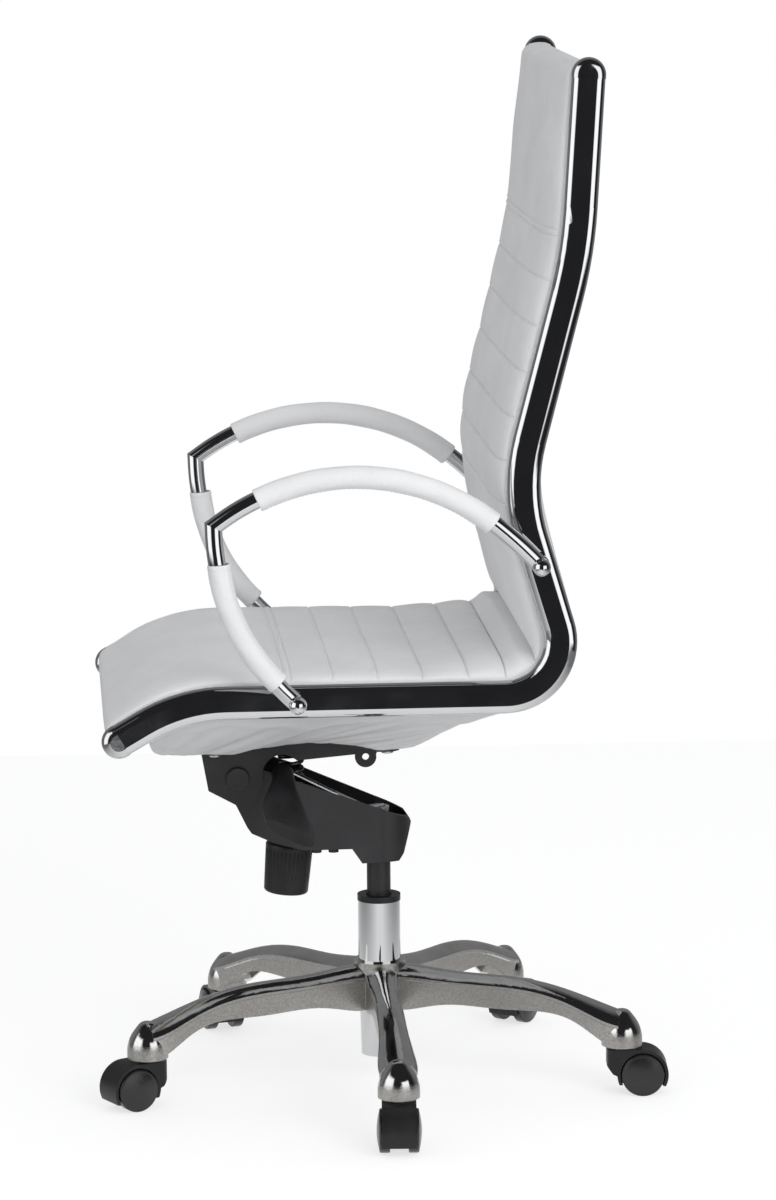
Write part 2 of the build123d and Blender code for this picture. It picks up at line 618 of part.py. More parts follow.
# ================================================================ plate under the seat
with BuildPart() as seat_plate:
    with BuildSketch(Plane.YZ):
        with BuildLine():
            Line((PLATE_FRONT, PLATE_Z), (ARCH_FRONT, PLATE_Z))
            ThreePointArc(
                (ARCH_FRONT, PLATE_Z),
                ((ARCH_FRONT + ARCH_REAR) / 2, PLATE_Z + ARCH_RISE),
                (ARCH_REAR, PLATE_Z),
            )
            Line((ARCH_REAR, PLATE_Z), (PLATE_REAR, PLATE_Z))
            Polyline(
                (PLATE_REAR, PLATE_Z), (PLATE_REAR, PLATE_Z - PLATE_SHEET), (ARCH_REAR, PLATE_Z - PLATE_SHEET)
            )
            ThreePointArc(
                (ARCH_FRONT, PLATE_Z - PLATE_SHEET),
                ((ARCH_FRONT + ARCH_REAR) / 2, PLATE_Z + ARCH_RISE - PLATE_SHEET),
                (ARCH_REAR, PLATE_Z - PLATE_SHEET),
            )
            Polyline(
                (ARCH_FRONT, PLATE_Z - PLATE_SHEET), (PLATE_FRONT, PLATE_Z - PLATE_SHEET), (PLATE_FRONT, PLATE_Z)
            )
        make_face()
    extrude(amount=PLATE_HALF, both=True)
    plate_corners = seat_plate.edges().filter_by(Axis.Z).group_by(Axis.Y)
    fillet(plate_corners[0] + plate_corners[-1], 5 * PLATE_SHEET)
    with BuildSketch(Plane.YZ.offset(PLATE_CHEEK)):
        # side wall: a wide ear round the pivot in front, a strip and a lug behind
        with BuildLine():
            Polyline(
                (PLATE_FRONT, PLATE_Z - PLATE_SHEET / 2),
                (PIVOT_Y - 34, PIVOT_Z - 14),
                (PIVOT_Y + 10, PIVOT_Z - 38),
                (PIVOT_Y + 24, PIVOT_Z - 21),
                (PIVOT_Y + 32, PIVOT_Z),
                (PIVOT_Y + 34, PIVOT_Z + 17),
                (PIVOT_Y + 72, PIVOT_Z + 20),
                (LUG_Y - LUG_RADIUS, PLATE_Z - LUG_DROP + 3),
                (LUG_Y + LUG_RADIUS, PLATE_Z - LUG_DROP + 3),
                (LUG_Y + LUG_RADIUS + 2, PLATE_Z - PLATE_SHEET / 2),
                (ARCH_REAR, PLATE_Z - PLATE_SHEET / 2),
            )
            ThreePointArc(
                (ARCH_REAR, PLATE_Z - PLATE_SHEET / 2),
                ((ARCH_FRONT + ARCH_REAR) / 2, PLATE_Z + ARCH_RISE - PLATE_SHEET / 2),
                (ARCH_FRONT, PLATE_Z - PLATE_SHEET / 2),
            )
            Line((ARCH_FRONT, PLATE_Z - PLATE_SHEET / 2), (PLATE_FRONT, PLATE_Z - PLATE_SHEET / 2))
        make_face()
        with Locations((LUG_Y, PLATE_Z - LUG_DROP)):
            Circle(LUG_RADIUS)
            Circle(LUG_HOLE, mode=Mode.SUBTRACT)
        with Locations((PIVOT_Y, PIVOT_Z)):
            Circle(PIVOT_RADIUS + RUNNING_GAP, mode=Mode.SUBTRACT)
        # notch over the lever's bush, deep enough for the full tilt
        with Locations((LEVER_Y, LEVER_Z)):
            Circle(SLIDER_RADIUS + NOTCH_ROOM, mode=Mode.SUBTRACT)
    extrude(amount=PLATE_SHEET)
    mirror(about=Plane.YZ)
    with Locations(*[(x, y, PLATE_Z) for x, y in BOLT_PLACES]):
        Hole(BOLT_RADIUS + RUNNING_GAP, depth=PLATE_SHEET)
seat_plate.part.label = "seat_plate"
export_step(seat_plate.part, "parts/seat_plate.step")

with BuildPart() as plate_screws:
    for screw_x, screw_y in BOLT_PLACES:
        with Locations((screw_x, screw_y, PLATE_Z - PLATE_SHEET)):
            Cylinder(BOLT_HEAD, BOLT_RADIUS, align=(Align.CENTER, Align.CENTER, Align.MAX))
            Cylinder(
                BOLT_RADIUS, PLATE_SHEET + LOOSE_GAP + BAG_SKIN + CROSSBAR_SHEET + 2,
                align=(Align.CENTER, Align.CENTER, Align.MIN),
            )
    heads = plate_screws.edges().filter_by(GeomType.CIRCLE).group_by(Axis.Z)[0]
    fillet(heads, BOLT_RADIUS / 3)
plate_screws.part.label = "plate_screws"
export_step(plate_screws.part, "parts/plate_screws.step")

# ================================================================ mechanism housing
knob_axis = Vector(0, sin(radians(KNOB_LEAN)), cos(radians(KNOB_LEAN)))
knob_middle = Vector(0, KNOB_Y, HOUSING_Z - KNOB_MIDDLE)
knob_plane = Plane(origin=knob_middle, x_dir=(1, 0, 0), z_dir=knob_axis)
trough = HOUSING_HALF - HOUSING_WALL


def plan_outline(half, nose):
    """Plan of the housing: as wide as the pivot in front, round the gas lift behind."""
    with BuildSketch(Plane.XY.offset(HOUSING_Z)) as plan:
        with BuildLine():
            Polyline(
                (-half, PIVOT_Y - 50), (half, PIVOT_Y - 50), (half, PIVOT_Y + 66), (nose, 0), (-nose, 0),
                (-half, PIVOT_Y + 66), close=True,
            )
        make_face()
        Circle(nose)
    return plan.sketch


with BuildPart() as trough_form:
    with BuildSketch(Plane.YZ):
        with BuildLine():
            Polyline(
                (PIVOT_Y - 40, PIVOT_Z + 60), (PIVOT_Y - 12, PIVOT_Z - 6), (PIVOT_Y + 15, HOUSING_Z + 54),
                (PIVOT_Y + 44, HOUSING_Z + 38), (PIVOT_Y + 80, HOUSING_Z + TROUGH_RISE),
                (NOSE_RADIUS - HOUSING_WALL, HOUSING_Z + TROUGH_RISE),
                (NOSE_RADIUS - HOUSING_WALL, PIVOT_Z + 60), close=True,
            )
        make_face()
    extrude(amount=trough, both=True)
    extrude(
        plan_outline(trough, NOSE_RADIUS + 1 - HOUSING_WALL), amount=2 * PIVOT_RISE, mode=Mode.INTERSECT
    )

with BuildPart() as mechanism_housing:
    with BuildSketch(Plane.YZ):
        with BuildLine():
            Polyline(
                (PIVOT_Y - 16, PIVOT_Z - 4),
                (PIVOT_Y + 11, HOUSING_Z + 49),
                (PIVOT_Y + 16, HOUSING_Z + 42),
                (PIVOT_Y + 42, HOUSING_Z + 30),
                (PIVOT_Y + 78, HOUSING_Z + FLOOR_RISE + 2),
                (-NOSE_RADIUS + 4, HOUSING_Z + FLOOR_RISE),
                (-BOSS_RADIUS + 1, HOUSING_Z),
                (BOSS_RADIUS - 1, HOUSING_Z),
                (NOSE_RADIUS - 10, HOUSING_Z + 8),
                (NOSE_RADIUS, HOUSING_Z + 42),
                (NOSE_RADIUS - 7, HOUSING_Z + 51),
                (PIVOT_Y + 70, PIVOT_Z - 7),
                (PIVOT_Y + 6, PIVOT_Z + 16),
                close=True,
            )
        make_face()
        with Locations((PIVOT_Y, PIVOT_Z)):
            Circle(17)
    extrude(amount=HOUSING_HALF, both=True)
    extrude(plan_outline(HOUSING_HALF, NOSE_RADIUS + 1), amount=2 * PIVOT_RISE, mode=Mode.INTERSECT)
    # trough, open at the top
    add(trough_form.part, mode=Mode.SUBTRACT)
    # tube round the pivot, tower for the lever, boss round the gas lift, nut boss for the screw
    with BuildSketch(Plane.YZ):
        with Locations((PIVOT_Y, PIVOT_Z)):
            Circle(PIVOT_RADIUS + 2 * BUSH_WALL + 2)
    extrude(amount=HOUSING_HALF, both=True)
    with BuildSketch(Plane.YZ.offset(HOUSING_HALF - HOUSING_WALL)):
        with Locations((LEVER_Y, LEVER_Z - 4)):
            Circle(13)
            Rectangle(26, 40, align=(Align.CENTER, Align.MAX))
    extrude(amount=HOUSING_WALL)
    with Locations((0, 0, HOUSING_Z)):
        Cylinder(BOSS_RADIUS, TAPER_LENGTH - 1, align=(Align.CENTER, Align.CENTER, Align.MIN))
    with BuildSketch(knob_plane.offset(KNOB_HIGH / 2 + 6)):
        Circle(2 * SCREW_RADIUS)
    extrude(amount=14)
    # ribs inside the trough and two stops under the floor
    with Locations((0, -60, HOUSING_Z + TROUGH_RISE)):
        Box(2 * trough - 12, 4, 14, align=(Align.CENTER, Align.CENTER, Align.MIN))
    with Locations(*[(STOP_X, stop_y, HOUSING_Z + FLOOR_RISE + HOUSING_WALL - 2) for stop_y in STOPS_Y]):
        Cylinder(6, 12, align=(Align.CENTER, Align.CENTER, Align.MAX))
    # bores
    with BuildSketch(Plane.YZ):
        with Locations((PIVOT_Y, PIVOT_Z)):
            Circle(PIVOT_RADIUS + BUSH_WALL + RUNNING_GAP)
    extrude(amount=HOUSING_HALF + LOOSE_GAP, both=True, mode=Mode.SUBTRACT)
    with BuildSketch(Plane.YZ.offset(trough - LOOSE_GAP)):
        with Locations((LEVER_Y, LEVER_Z)):
            Circle(SLIDER_RADIUS + RUNNING_GAP)
    extrude(amount=HOUSING_WALL + 2 * LOOSE_GAP, mode=Mode.SUBTRACT)
    taper_drop = TAPER_LENGTH * tan(radians(PISTON_TAPER))
    with BuildSketch(Plane.XZ):
        with BuildLine():
            Polyline(
                (0, HOUSING_Z), (PISTON_RADIUS + RUNNING_GAP, HOUSING_Z),
                (PISTON_RADIUS + RUNNING_GAP - taper_drop, PISTON_TOP), (0, PISTON_TOP), close=True,
            )
        make_face()
    revolve(axis=Axis.Z, mode=Mode.SUBTRACT)
    with BuildSketch(knob_plane):
        Circle(SCREW_RADIUS + RUNNING_GAP)
    extrude(amount=2 * KNOB_HIGH, mode=Mode.SUBTRACT)
mechanism_housing.part.label = "mechanism_housing"
export_step(mechanism_housing.part, "parts/mechanism_housing.step")

with BuildPart() as pivot_pin:
    with BuildSketch(Plane.YZ):
        with Locations((PIVOT_Y, PIVOT_Z)):
            Circle(PIVOT_RADIUS)
    extrude(amount=PLATE_CHEEK + PLATE_SHEET, both=True)
    for side in (-1, 1):
        with BuildSketch(Plane.YZ.offset(side * (PLATE_CHEEK + PLATE_SHEET + LOOSE_GAP))):
            with Locations((PIVOT_Y, PIVOT_Z)):
                Circle(PIVOT_HEAD)
        extrude(amount=side * 4)
        with BuildSketch(Plane.YZ.offset(side * (PLATE_CHEEK + PLATE_SHEET))):
            with Locations((PIVOT_Y, PIVOT_Z)):
                Circle(PIVOT_RADIUS)
        extrude(amount=side * 2)
    head_rims = pivot_pin.edges().filter_by(GeomType.CIRCLE).group_by(Axis.X)
    fillet(head_rims[0] + head_rims[-1], 1.5)
pivot_pin.part.label = "pivot_pin"
export_step(pivot_pin.part, "parts/pivot_pin.step")

# Nylon bushes in the housing's ends, with a flange against the plate's side walls
with BuildPart() as pivot_bushes:
    for side in (-1, 1):
        with BuildSketch(Plane.YZ.offset(side * (HOUSING_HALF - BUSH_LONG))):
            with Locations((PIVOT_Y, PIVOT_Z)):
                Circle(PIVOT_RADIUS + BUSH_WALL)
                Circle(PIVOT_RADIUS + RUNNING_GAP, mode=Mode.SUBTRACT)
        extrude(amount=side * BUSH_LONG)
        with BuildSketch(Plane.YZ.offset(side * HOUSING_HALF)):
            with Locations((PIVOT_Y, PIVOT_Z)):
                Circle(PIVOT_RADIUS + 3 * BUSH_WALL)
                Circle(PIVOT_RADIUS + RUNNING_GAP, mode=Mode.SUBTRACT)
        extrude(amount=side * (PLATE_CHEEK - HOUSING_HALF - LOOSE_GAP))
pivot_bushes.part.label = "pivot_bushes"
export_step(pivot_bushes.part, "parts/pivot_bushes.step")

# ================================================================ tension screw, knob and spring
boss_foot = KNOB_HIGH / 2 + 6
boss_head = boss_foot + 14
screw_tip = boss_head + CUP_GAP + 16
with BuildPart() as tension_screw:
    with BuildSketch(knob_plane.offset(-KNOB_HIGH / 2 + 12)):
        Circle(SCREW_RADIUS)
    extrude(amount=screw_tip + KNOB_HIGH / 2 - 12)
tension_screw.part.label = "tension_screw"
export_step(tension_screw.part, "parts/tension_screw.step")

with BuildPart() as tension_knob:
    with BuildSketch(knob_plane.offset(-KNOB_HIGH / 2)):
        Circle(KNOB_RADIUS - 2)
    with BuildSketch(knob_plane.offset(KNOB_HIGH / 2)):
        Circle(KNOB_RADIUS)
    loft()
    knob_ends = tension_knob.edges().filter_by(GeomType.CIRCLE)
    fillet(knob_ends, 4)
    # grip flutes
    with BuildSketch(knob_plane.offset(-KNOB_HIGH / 2)):
        with PolarLocations(KNOB_RADIUS - 0.4, KNOB_RIBS):
            Circle(1.3)
    extrude(amount=KNOB_HIGH - 8, mode=Mode.SUBTRACT)
    with BuildSketch(knob_plane.offset(-KNOB_HIGH / 2 + 12)):
        Circle(SCREW_RADIUS)
    extrude(amount=KNOB_HIGH, mode=Mode.SUBTRACT)
tension_knob.part.label = "tension_knob"
export_step(tension_knob.part, "parts/tension_knob.step")

cup_plane = knob_plane.offset(boss_head + CUP_GAP)
with BuildPart() as spring_cup:
    with BuildSketch(cup_plane):
        Circle(SPRING_RADIUS + SPRING_WIRE + 2)
    extrude(amount=10)
    with BuildSketch(cup_plane.offset(3)):
        Circle(SPRING_RADIUS + SPRING_WIRE + LOOSE_GAP)
        Circle(SPRING_RADIUS - SPRING_WIRE - LOOSE_GAP, mode=Mode.SUBTRACT)
    extrude(amount=10, mode=Mode.SUBTRACT)
    with BuildSketch(cup_plane):
        Circle(SCREW_RADIUS + RUNNING_GAP)
    extrude(amount=20, mode=Mode.SUBTRACT)
spring_cup.part.label = "spring_cup"
export_step(spring_cup.part, "parts/spring_cup.step")

arch_middle = PLATE_Z + ARCH_RISE - PLATE_SHEET
spring_foot = boss_head + CUP_GAP + 3 + SPRING_WIRE
spring_room = (arch_middle - knob_middle.Z) / knob_axis.Z - spring_foot - SPRING_WIRE - 3.5
with BuildPart() as tension_spring:
    with BuildLine(knob_plane.offset(spring_foot)):
        coil = Helix(SPRING_PITCH, spring_room, SPRING_RADIUS)
    with BuildSketch(Plane(origin=coil @ 0, z_dir=coil % 0)):
        Circle(SPRING_WIRE)
    sweep(path=coil, is_frenet=True)
tension_spring.part.label = "tension_spring"
export_step(tension_spring.part, "parts/tension_spring.step")

# ================================================================ control lever
lever_slope = radians(LEVER_FALL)
lever_direction = Vector(cos(lever_slope), 0, -sin(lever_slope))
lever_bend = Vector(PLATE_CHEEK + PLATE_SHEET + 8, LEVER_Y, LEVER_Z)
lever_tip = lever_bend + lever_direction * LEVER_REACH
wire_end = lever_bend + lever_direction * (LEVER_REACH * 0.55)
shoe_wire_z = VALVE_TOP + VALVE_GAP + SHOE_SKIN + WIRE_RADIUS
with BuildPart() as lever_wire:
    with BuildLine() as wire_line:
        FilletPolyline(
            wire_end,
            lever_bend,
            (WIRE_RUN_X, LEVER_Y, LEVER_Z),
            (WIRE_RUN_X, LEVER_Y + 62, VALVE_TOP + 28),
            (16, -12, shoe_wire_z),
            (0, 6, shoe_wire_z),
            radius=[20, 12, 20, 12],
        )
    with BuildSketch(Plane(origin=wire_line.line @ 0, z_dir=wire_line.line % 0)):
        Circle(WIRE_RADIUS)
    sweep(path=wire_line.wires()[0])
    # flattened shoe over the valve pin
    with Locations((0, 0, VALVE_TOP + VALVE_GAP)):
        Cylinder(SHOE_RADIUS, 2 * SHOE_SKIN + WIRE_RADIUS, align=(Align.CENTER, Align.CENTER, Align.MIN))
lever_wire.part.label = "lever_wire"
export_step(lever_wire.part, "parts/lever_wire.step")

with BuildPart() as lever_handle:
    neck_start = PLATE_CHEEK + PLATE_SHEET + 2
    for share, long_half, thick_half in (
        (0.0, HANDLE_NECK, HANDLE_NECK),
        (0.14, HANDLE_NECK + 1, HANDLE_NECK - 1),
        (0.42, HANDLE_LONG - 8, HANDLE_THICK + 1),
        (1.0, HANDLE_LONG, HANDLE_THICK),
    ):
        station = neck_start + (lever_tip.X - neck_start) * share
        drop = LEVER_Z - max(0, station - lever_bend.X) * tan(lever_slope)
        with BuildSketch(Plane(origin=(station, LEVER_Y, drop), x_dir=(0, 1, 0), z_dir=(1, 0, 0))):
            Ellipse(long_half, thick_half, rotation=-HANDLE_TILT)
    loft()
    # bore for the wire, with the same bend
    with BuildLine() as bore_line:
        FilletPolyline(wire_end, lever_bend, (neck_start - 1, LEVER_Y, LEVER_Z), radius=20)
    with BuildSketch(Plane(origin=bore_line.line @ 0, z_dir=bore_line.line % 0)):
        Circle(WIRE_RADIUS + RUNNING_GAP)
    sweep(path=bore_line.wires()[0], mode=Mode.SUBTRACT)
lever_handle.part.label = "lever_handle"
export_step(lever_handle.part, "parts/lever_handle.step")

# Bush that the wire rocks in; pulled out with the lever it frees the tilt
with BuildPart() as lock_slider:
    with BuildSketch(Plane(origin=(LEVER_X, LEVER_Y, LEVER_Z), z_dir=(1, 0, 0))):
        Circle(SLIDER_RADIUS)
        Circle(WIRE_RADIUS + ROCK_GAP, mode=Mode.SUBTRACT)
    extrude(amount=SLIDER_HALF, both=True)
lock_slider.part.label = "lock_slider"
export_step(lock_slider.part, "parts/lock_slider.step")

# ================================================================ gas lift
tube_foot_radius = TUBE_RADIUS - (HUB_TOP - TUBE_FOOT) * tan(radians(TUBE_TAPER))
hub_foot_radius = TUBE_RADIUS - HUB_HIGH * tan(radians(TUBE_TAPER))
with BuildPart() as outer_tube:
    with BuildSketch(Plane.XZ):
        with BuildLine():
            Polyline(
                (ROD_COLLAR, TUBE_FOOT), (tube_foot_radius, TUBE_FOOT), (TUBE_RADIUS, HUB_TOP),
                (TUBE_RADIUS, TUBE_TOP), (TUBE_RADIUS - TUBE_WALL, TUBE_TOP), (TUBE_RADIUS - TUBE_WALL, HUB_TOP),
                (tube_foot_radius - TUBE_WALL, TUBE_FOOT + FOOT_PLATE), (ROD_COLLAR, TUBE_FOOT + FOOT_PLATE),
                close=True,
            )
        make_face()
    revolve(axis=Axis.Z)
outer_tube.part.label = "outer_tube"
export_step(outer_tube.part, "parts/outer_tube.step")

with BuildPart() as column_ring:
    with BuildSketch(Plane.XY.offset(TUBE_TOP)):
        Circle(TUBE_RADIUS + 0.5)
        Circle(PISTON_RADIUS + 2 * LOOSE_GAP, mode=Mode.SUBTRACT)
    extrude(amount=RING_HIGH)
    fillet(column_ring.edges().filter_by(GeomType.CIRCLE).sort_by(Axis.Z)[-1:], 1.5)
column_ring.part.label = "column_ring"
export_step(column_ring.part, "parts/column_ring.step")

GUIDE_FOOT = HUB_TOP + 4
with BuildPart() as guide_bush:
    with BuildSketch(Plane.XY.offset(GUIDE_FOOT)):
        Circle(TUBE_RADIUS - TUBE_WALL - RUNNING_GAP)
        Circle(PISTON_RADIUS + RUNNING_GAP, mode=Mode.SUBTRACT)
    extrude(amount=TUBE_TOP - GUIDE_FOOT)
guide_bush.part.label = "guide_bush"
export_step(guide_bush.part, "parts/guide_bush.step")

with BuildPart() as piston_tube:
    with BuildSketch(Plane.XZ):
        with BuildLine():
            taper_end = PISTON_RADIUS - taper_drop
            Polyline(
                (ROD_RADIUS + RUNNING_GAP, PISTON_FOOT), (PISTON_RADIUS, PISTON_FOOT),
                (PISTON_RADIUS, HOUSING_Z), (taper_end, PISTON_TOP), (VALVE_RADIUS + RUNNING_GAP, PISTON_TOP),
                (VALVE_RADIUS + RUNNING_GAP, VALVE_FLOOR), (0, VALVE_FLOOR), (0, HOUSING_Z - 6),
                (PISTON_RADIUS - PISTON_WALL, HOUSING_Z - 6), (PISTON_RADIUS - PISTON_WALL, PISTON_FOOT + 10),
                (ROD_RADIUS + RUNNING_GAP, PISTON_FOOT + 10), close=True,
            )
        make_face()
    revolve(axis=Axis.Z)
piston_tube.part.label = "piston_tube"
export_step(piston_tube.part, "parts/piston_tube.step")

with BuildPart() as valve_pin:
    with Locations((0, 0, VALVE_TOP)):
        Cylinder(
            VALVE_RADIUS, VALVE_TOP - VALVE_FLOOR - VALVE_TRAVEL - LOOSE_GAP,
            align=(Align.CENTER, Align.CENTER, Align.MAX),
        )
valve_pin.part.label = "valve_pin"
export_step(valve_pin.part, "parts/valve_pin.step")

# Piston rod: it stands on the thrust bearing, and the piston tube slides on it
BEARING_TOP = TUBE_FOOT + FOOT_PLATE + 8
CLIP_HIGH = 2.0
with BuildPart() as piston_rod:
    with BuildSketch(Plane.XZ):
        with BuildLine():
            collar_top = BEARING_TOP + 4
            piston_head = PISTON_RADIUS - PISTON_WALL - RUNNING_GAP
            Polyline(
                (0, TUBE_FOOT - CLIP_HIGH - 3), (ROD_RADIUS, TUBE_FOOT - CLIP_HIGH - 3),
                (ROD_RADIUS, BEARING_TOP + RUNNING_GAP), (ROD_COLLAR, BEARING_TOP + RUNNING_GAP),
                (ROD_COLLAR, collar_top), (ROD_RADIUS, collar_top), (ROD_RADIUS, ROD_TOP - 10),
                (piston_head, ROD_TOP - 10), (piston_head, ROD_TOP), (0, ROD_TOP), close=True,
            )
        make_face()
    revolve(axis=Axis.Z)
piston_rod.part.label = "piston_rod"
export_step(piston_rod.part, "parts/piston_rod.step")

with BuildPart() as rod_clip:
    with BuildSketch(Plane.XY.offset(TUBE_FOOT - CLIP_HIGH - RUNNING_GAP)):
        Circle(ROD_COLLAR + 2)
        Circle(ROD_RADIUS, mode=Mode.SUBTRACT)
        with Locations((ROD_COLLAR, 0)):
            Rectangle(2 * ROD_COLLAR, 4, mode=Mode.SUBTRACT)
    extrude(amount=CLIP_HIGH)
rod_clip.part.label = "rod_clip"
export_step(rod_clip.part, "parts/rod_clip.step")

with BuildPart() as thrust_bearing:
    with BuildSketch(Plane.XY.offset(TUBE_FOOT + FOOT_PLATE)):
        Circle(BEARING_RADIUS)
        Circle(ROD_RADIUS + RUNNING_GAP, mode=Mode.SUBTRACT)
    extrude(amount=BEARING_TOP - TUBE_FOOT - FOOT_PLATE)
    # groove between the two race washers
    with BuildSketch(Plane.XY.offset(TUBE_FOOT + FOOT_PLATE + 2.5)):
        Circle(BEARING_RADIUS + 1)
        Circle(BEARING_RADIUS - 2, mode=Mode.SUBTRACT)
    extrude(amount=3, mode=Mode.SUBTRACT)
thrust_bearing.part.label = "thrust_bearing"
export_step(thrust_bearing.part, "parts/thrust_bearing.step")

# ================================================================ five-legged base
# Sections of one leg: distance from the axis, half width, underside, crown
LEG_SECTIONS = (
    (0.055, 19.0, HUB_FLOOR + 1.5, CUP_CROWN + 40),
    (0.24, 17.0, HUB_FLOOR + 4, CUP_CROWN + 37),
    (0.45, 16.0, HUB_FLOOR + 4.5, CUP_CROWN + 33),
    (0.65, 16.0, HUB_FLOOR + 3.5, CUP_CROWN + 28),
    (0.80, 18.0, HUB_FLOOR - 4, CUP_CROWN + 17),
    (0.90, 21.5, HUB_FLOOR - 21, CUP_CROWN + 7),
    (1.0, CUP_RADIUS - 3, CUP_FLOOR + 3, CUP_CROWN - 3),
)
LEG_CROWN = 0.62          # how round the crown is, as a share of the half width


def leg_section(share, half, low, high):
    """One section of the leg: flanks set back under an arched crown."""
    shoulder = high - LEG_CROWN * half
    flank = half - LEG_FLANK_STEP
    with BuildSketch(Plane.YZ.offset(share * STEM_CIRCLE)) as section:
        with BuildLine():
            Polyline(
                (-half, shoulder), (-half, shoulder - 3), (-flank, shoulder - 3 - LEG_FLANK_STEP),
                (-flank, low), (flank, low), (flank, shoulder - 3 - LEG_FLANK_STEP), (half, shoulder - 3),
                (half, shoulder),
            )
            ThreePointArc((-half, shoulder), (0, high), (half, shoulder))
        make_face()
    return section.sketch


def channel_section(share, half, low, high):
    """The hollow under one section of the leg."""
    with BuildSketch(Plane.YZ.offset(share * STEM_CIRCLE)) as section:
        with Locations((0, low - 1)):
            Rectangle(2 * (half - 5.5), high - low - 0.5 * half, align=(Align.CENTER, Align.MIN))
    return section.sketch


# Cup round the castor's stem
with BuildPart() as cup:
    with BuildSketch(Plane.XZ):
        with BuildLine():
            Line((CUP_RADIUS, CUP_FLOOR), (CUP_RADIUS, CUP_FLOOR + 6))
            Spline(
                (CUP_RADIUS, CUP_FLOOR + 6), (0.84 * CUP_RADIUS, CUP_FLOOR + 0.58 * CUP_HIGH),
                (0.5 * CUP_RADIUS, CUP_FLOOR + 0.86 * CUP_HIGH), (0, CUP_CROWN),
                tangents=((0, 1), (-1, 0)),
            )
            Polyline((0, CUP_CROWN), (0, CUP_FLOOR), (CUP_RADIUS, CUP_FLOOR))
        make_face()
    revolve(axis=Axis.Z)

with BuildPart() as one_leg:
    loft([leg_section(*row) for row in LEG_SECTIONS])
    with Locations((STEM_CIRCLE, 0, 0)):
        add(cup.part)
    loft([channel_section(*row) for row in LEG_SECTIONS[1:6]], ruled=True, mode=Mode.SUBTRACT)

with BuildPart() as base_star:
    with PolarLocations(0, LEG_COUNT):
        add(one_leg.part)
    with Locations((0, 0, HUB_FLOOR)):
        Cylinder(HUB_RADIUS, HUB_HIGH - 2, align=(Align.CENTER, Align.CENTER, Align.MIN))
    with BuildSketch(Plane.XZ):
        with BuildLine():
            Polyline(
                (0, 0), (hub_foot_radius + RUNNING_GAP, 0), (hub_foot_radius + RUNNING_GAP, HUB_FLOOR),
                (TUBE_RADIUS + RUNNING_GAP, HUB_TOP), (TUBE_RADIUS + RUNNING_GAP, HUB_TOP + 20),
                (0, HUB_TOP + 20), close=True,
            )
        make_face()
    revolve(axis=Axis.Z, mode=Mode.SUBTRACT)
    with PolarLocations(STEM_CIRCLE, LEG_COUNT):
        with Locations((0, 0, CUP_FLOOR)):
            Cylinder(
                STEM_RADIUS + RUNNING_GAP, STEM_TOP - CUP_FLOOR + 1,
                align=(Align.CENTER, Align.CENTER, Align.MIN), mode=Mode.SUBTRACT,
            )
base_star.part.label = "base_star"
export_step(base_star.part, "parts/base_star.step")

# ================================================================ castors, made once and set out
STEM_FOOT = HOOD_TOP - 22
with BuildPart() as caster_stems:
    with PolarLocations(STEM_CIRCLE, LEG_COUNT):
        with Locations((0, 0, STEM_FOOT)):
            Cylinder(STEM_RADIUS, STEM_TOP - STEM_FOOT, align=(Align.CENTER, Align.CENTER, Align.MIN))
        with Locations((0, 0, CUP_FLOOR - 2)):
            Cylinder(STEM_COLLAR, 2, align=(Align.CENTER, Align.CENTER, Align.MIN))
caster_stems.part.label = "caster_stems"
export_step(caster_stems.part, "parts/caster_stems.step")

with BuildPart() as hood:
    with BuildSketch(Plane.XZ):
        with Locations((CASTOR_TRAIL, WHEEL_RADIUS)):
            Circle(FENDER_RADIUS)
        with BuildLine():
            Polyline(
                (-POST_BACK, HOOD_TOP), (CASTOR_TRAIL, HOOD_TOP), (CASTOR_TRAIL, WHEEL_RADIUS),
                (0, WHEEL_RADIUS - 4), (-POST_BACK + 7, WHEEL_RADIUS + 1), (-POST_BACK, WHEEL_RADIUS + 10),
                close=True,
            )
        make_face()
        # open below the fender's end and under the web
        with BuildLine():
            end = radians(FENDER_END)
            Polyline(
                (CASTOR_TRAIL, WHEEL_RADIUS - 12),
                (CASTOR_TRAIL + 20, WHEEL_RADIUS - 12),
                (CASTOR_TRAIL + 2 * FENDER_RADIUS, WHEEL_RADIUS - 2 * FENDER_RADIUS * sin(end) - 3),
                (CASTOR_TRAIL + 2 * FENDER_RADIUS, -10), (-2 * POST_BACK, -10),
                (-2 * POST_BACK, WHEEL_RADIUS - 12), close=True,
            )
        make_face(mode=Mode.SUBTRACT)
    extrude(amount=FENDER_HALF, both=True)
    shoulder_edges = hood.edges().filter_by(Axis.Z)
    fillet(shoulder_edges.sort_by(Axis.X)[:2], 9)
    for side in (-1, 1):
        with BuildSketch(Plane.XZ.offset(-side * WEB_HALF)):
            with Locations((CASTOR_TRAIL, WHEEL_RADIUS)):
                Circle(WHEEL_RADIUS + WHEEL_ROOM)
        extrude(amount=-side * FENDER_HALF, mode=Mode.SUBTRACT)
    with BuildSketch(Plane.XZ):
        with Locations((CASTOR_TRAIL, WHEEL_RADIUS)):
            Circle(AXLE_RADIUS)
    extrude(amount=FENDER_HALF, both=True, mode=Mode.SUBTRACT)
    with Locations((0, 0, STEM_FOOT - 1)):
        Cylinder(
            STEM_RADIUS + RUNNING_GAP, HOOD_TOP, align=(Align.CENTER, Align.CENTER, Align.MIN),
            mode=Mode.SUBTRACT,
        )

with BuildPart() as axle:
    with BuildSketch(Plane.XZ):
        with Locations((CASTOR_TRAIL, WHEEL_RADIUS)):
            Circle(AXLE_RADIUS)
    extrude(amount=AXLE_END, both=True)

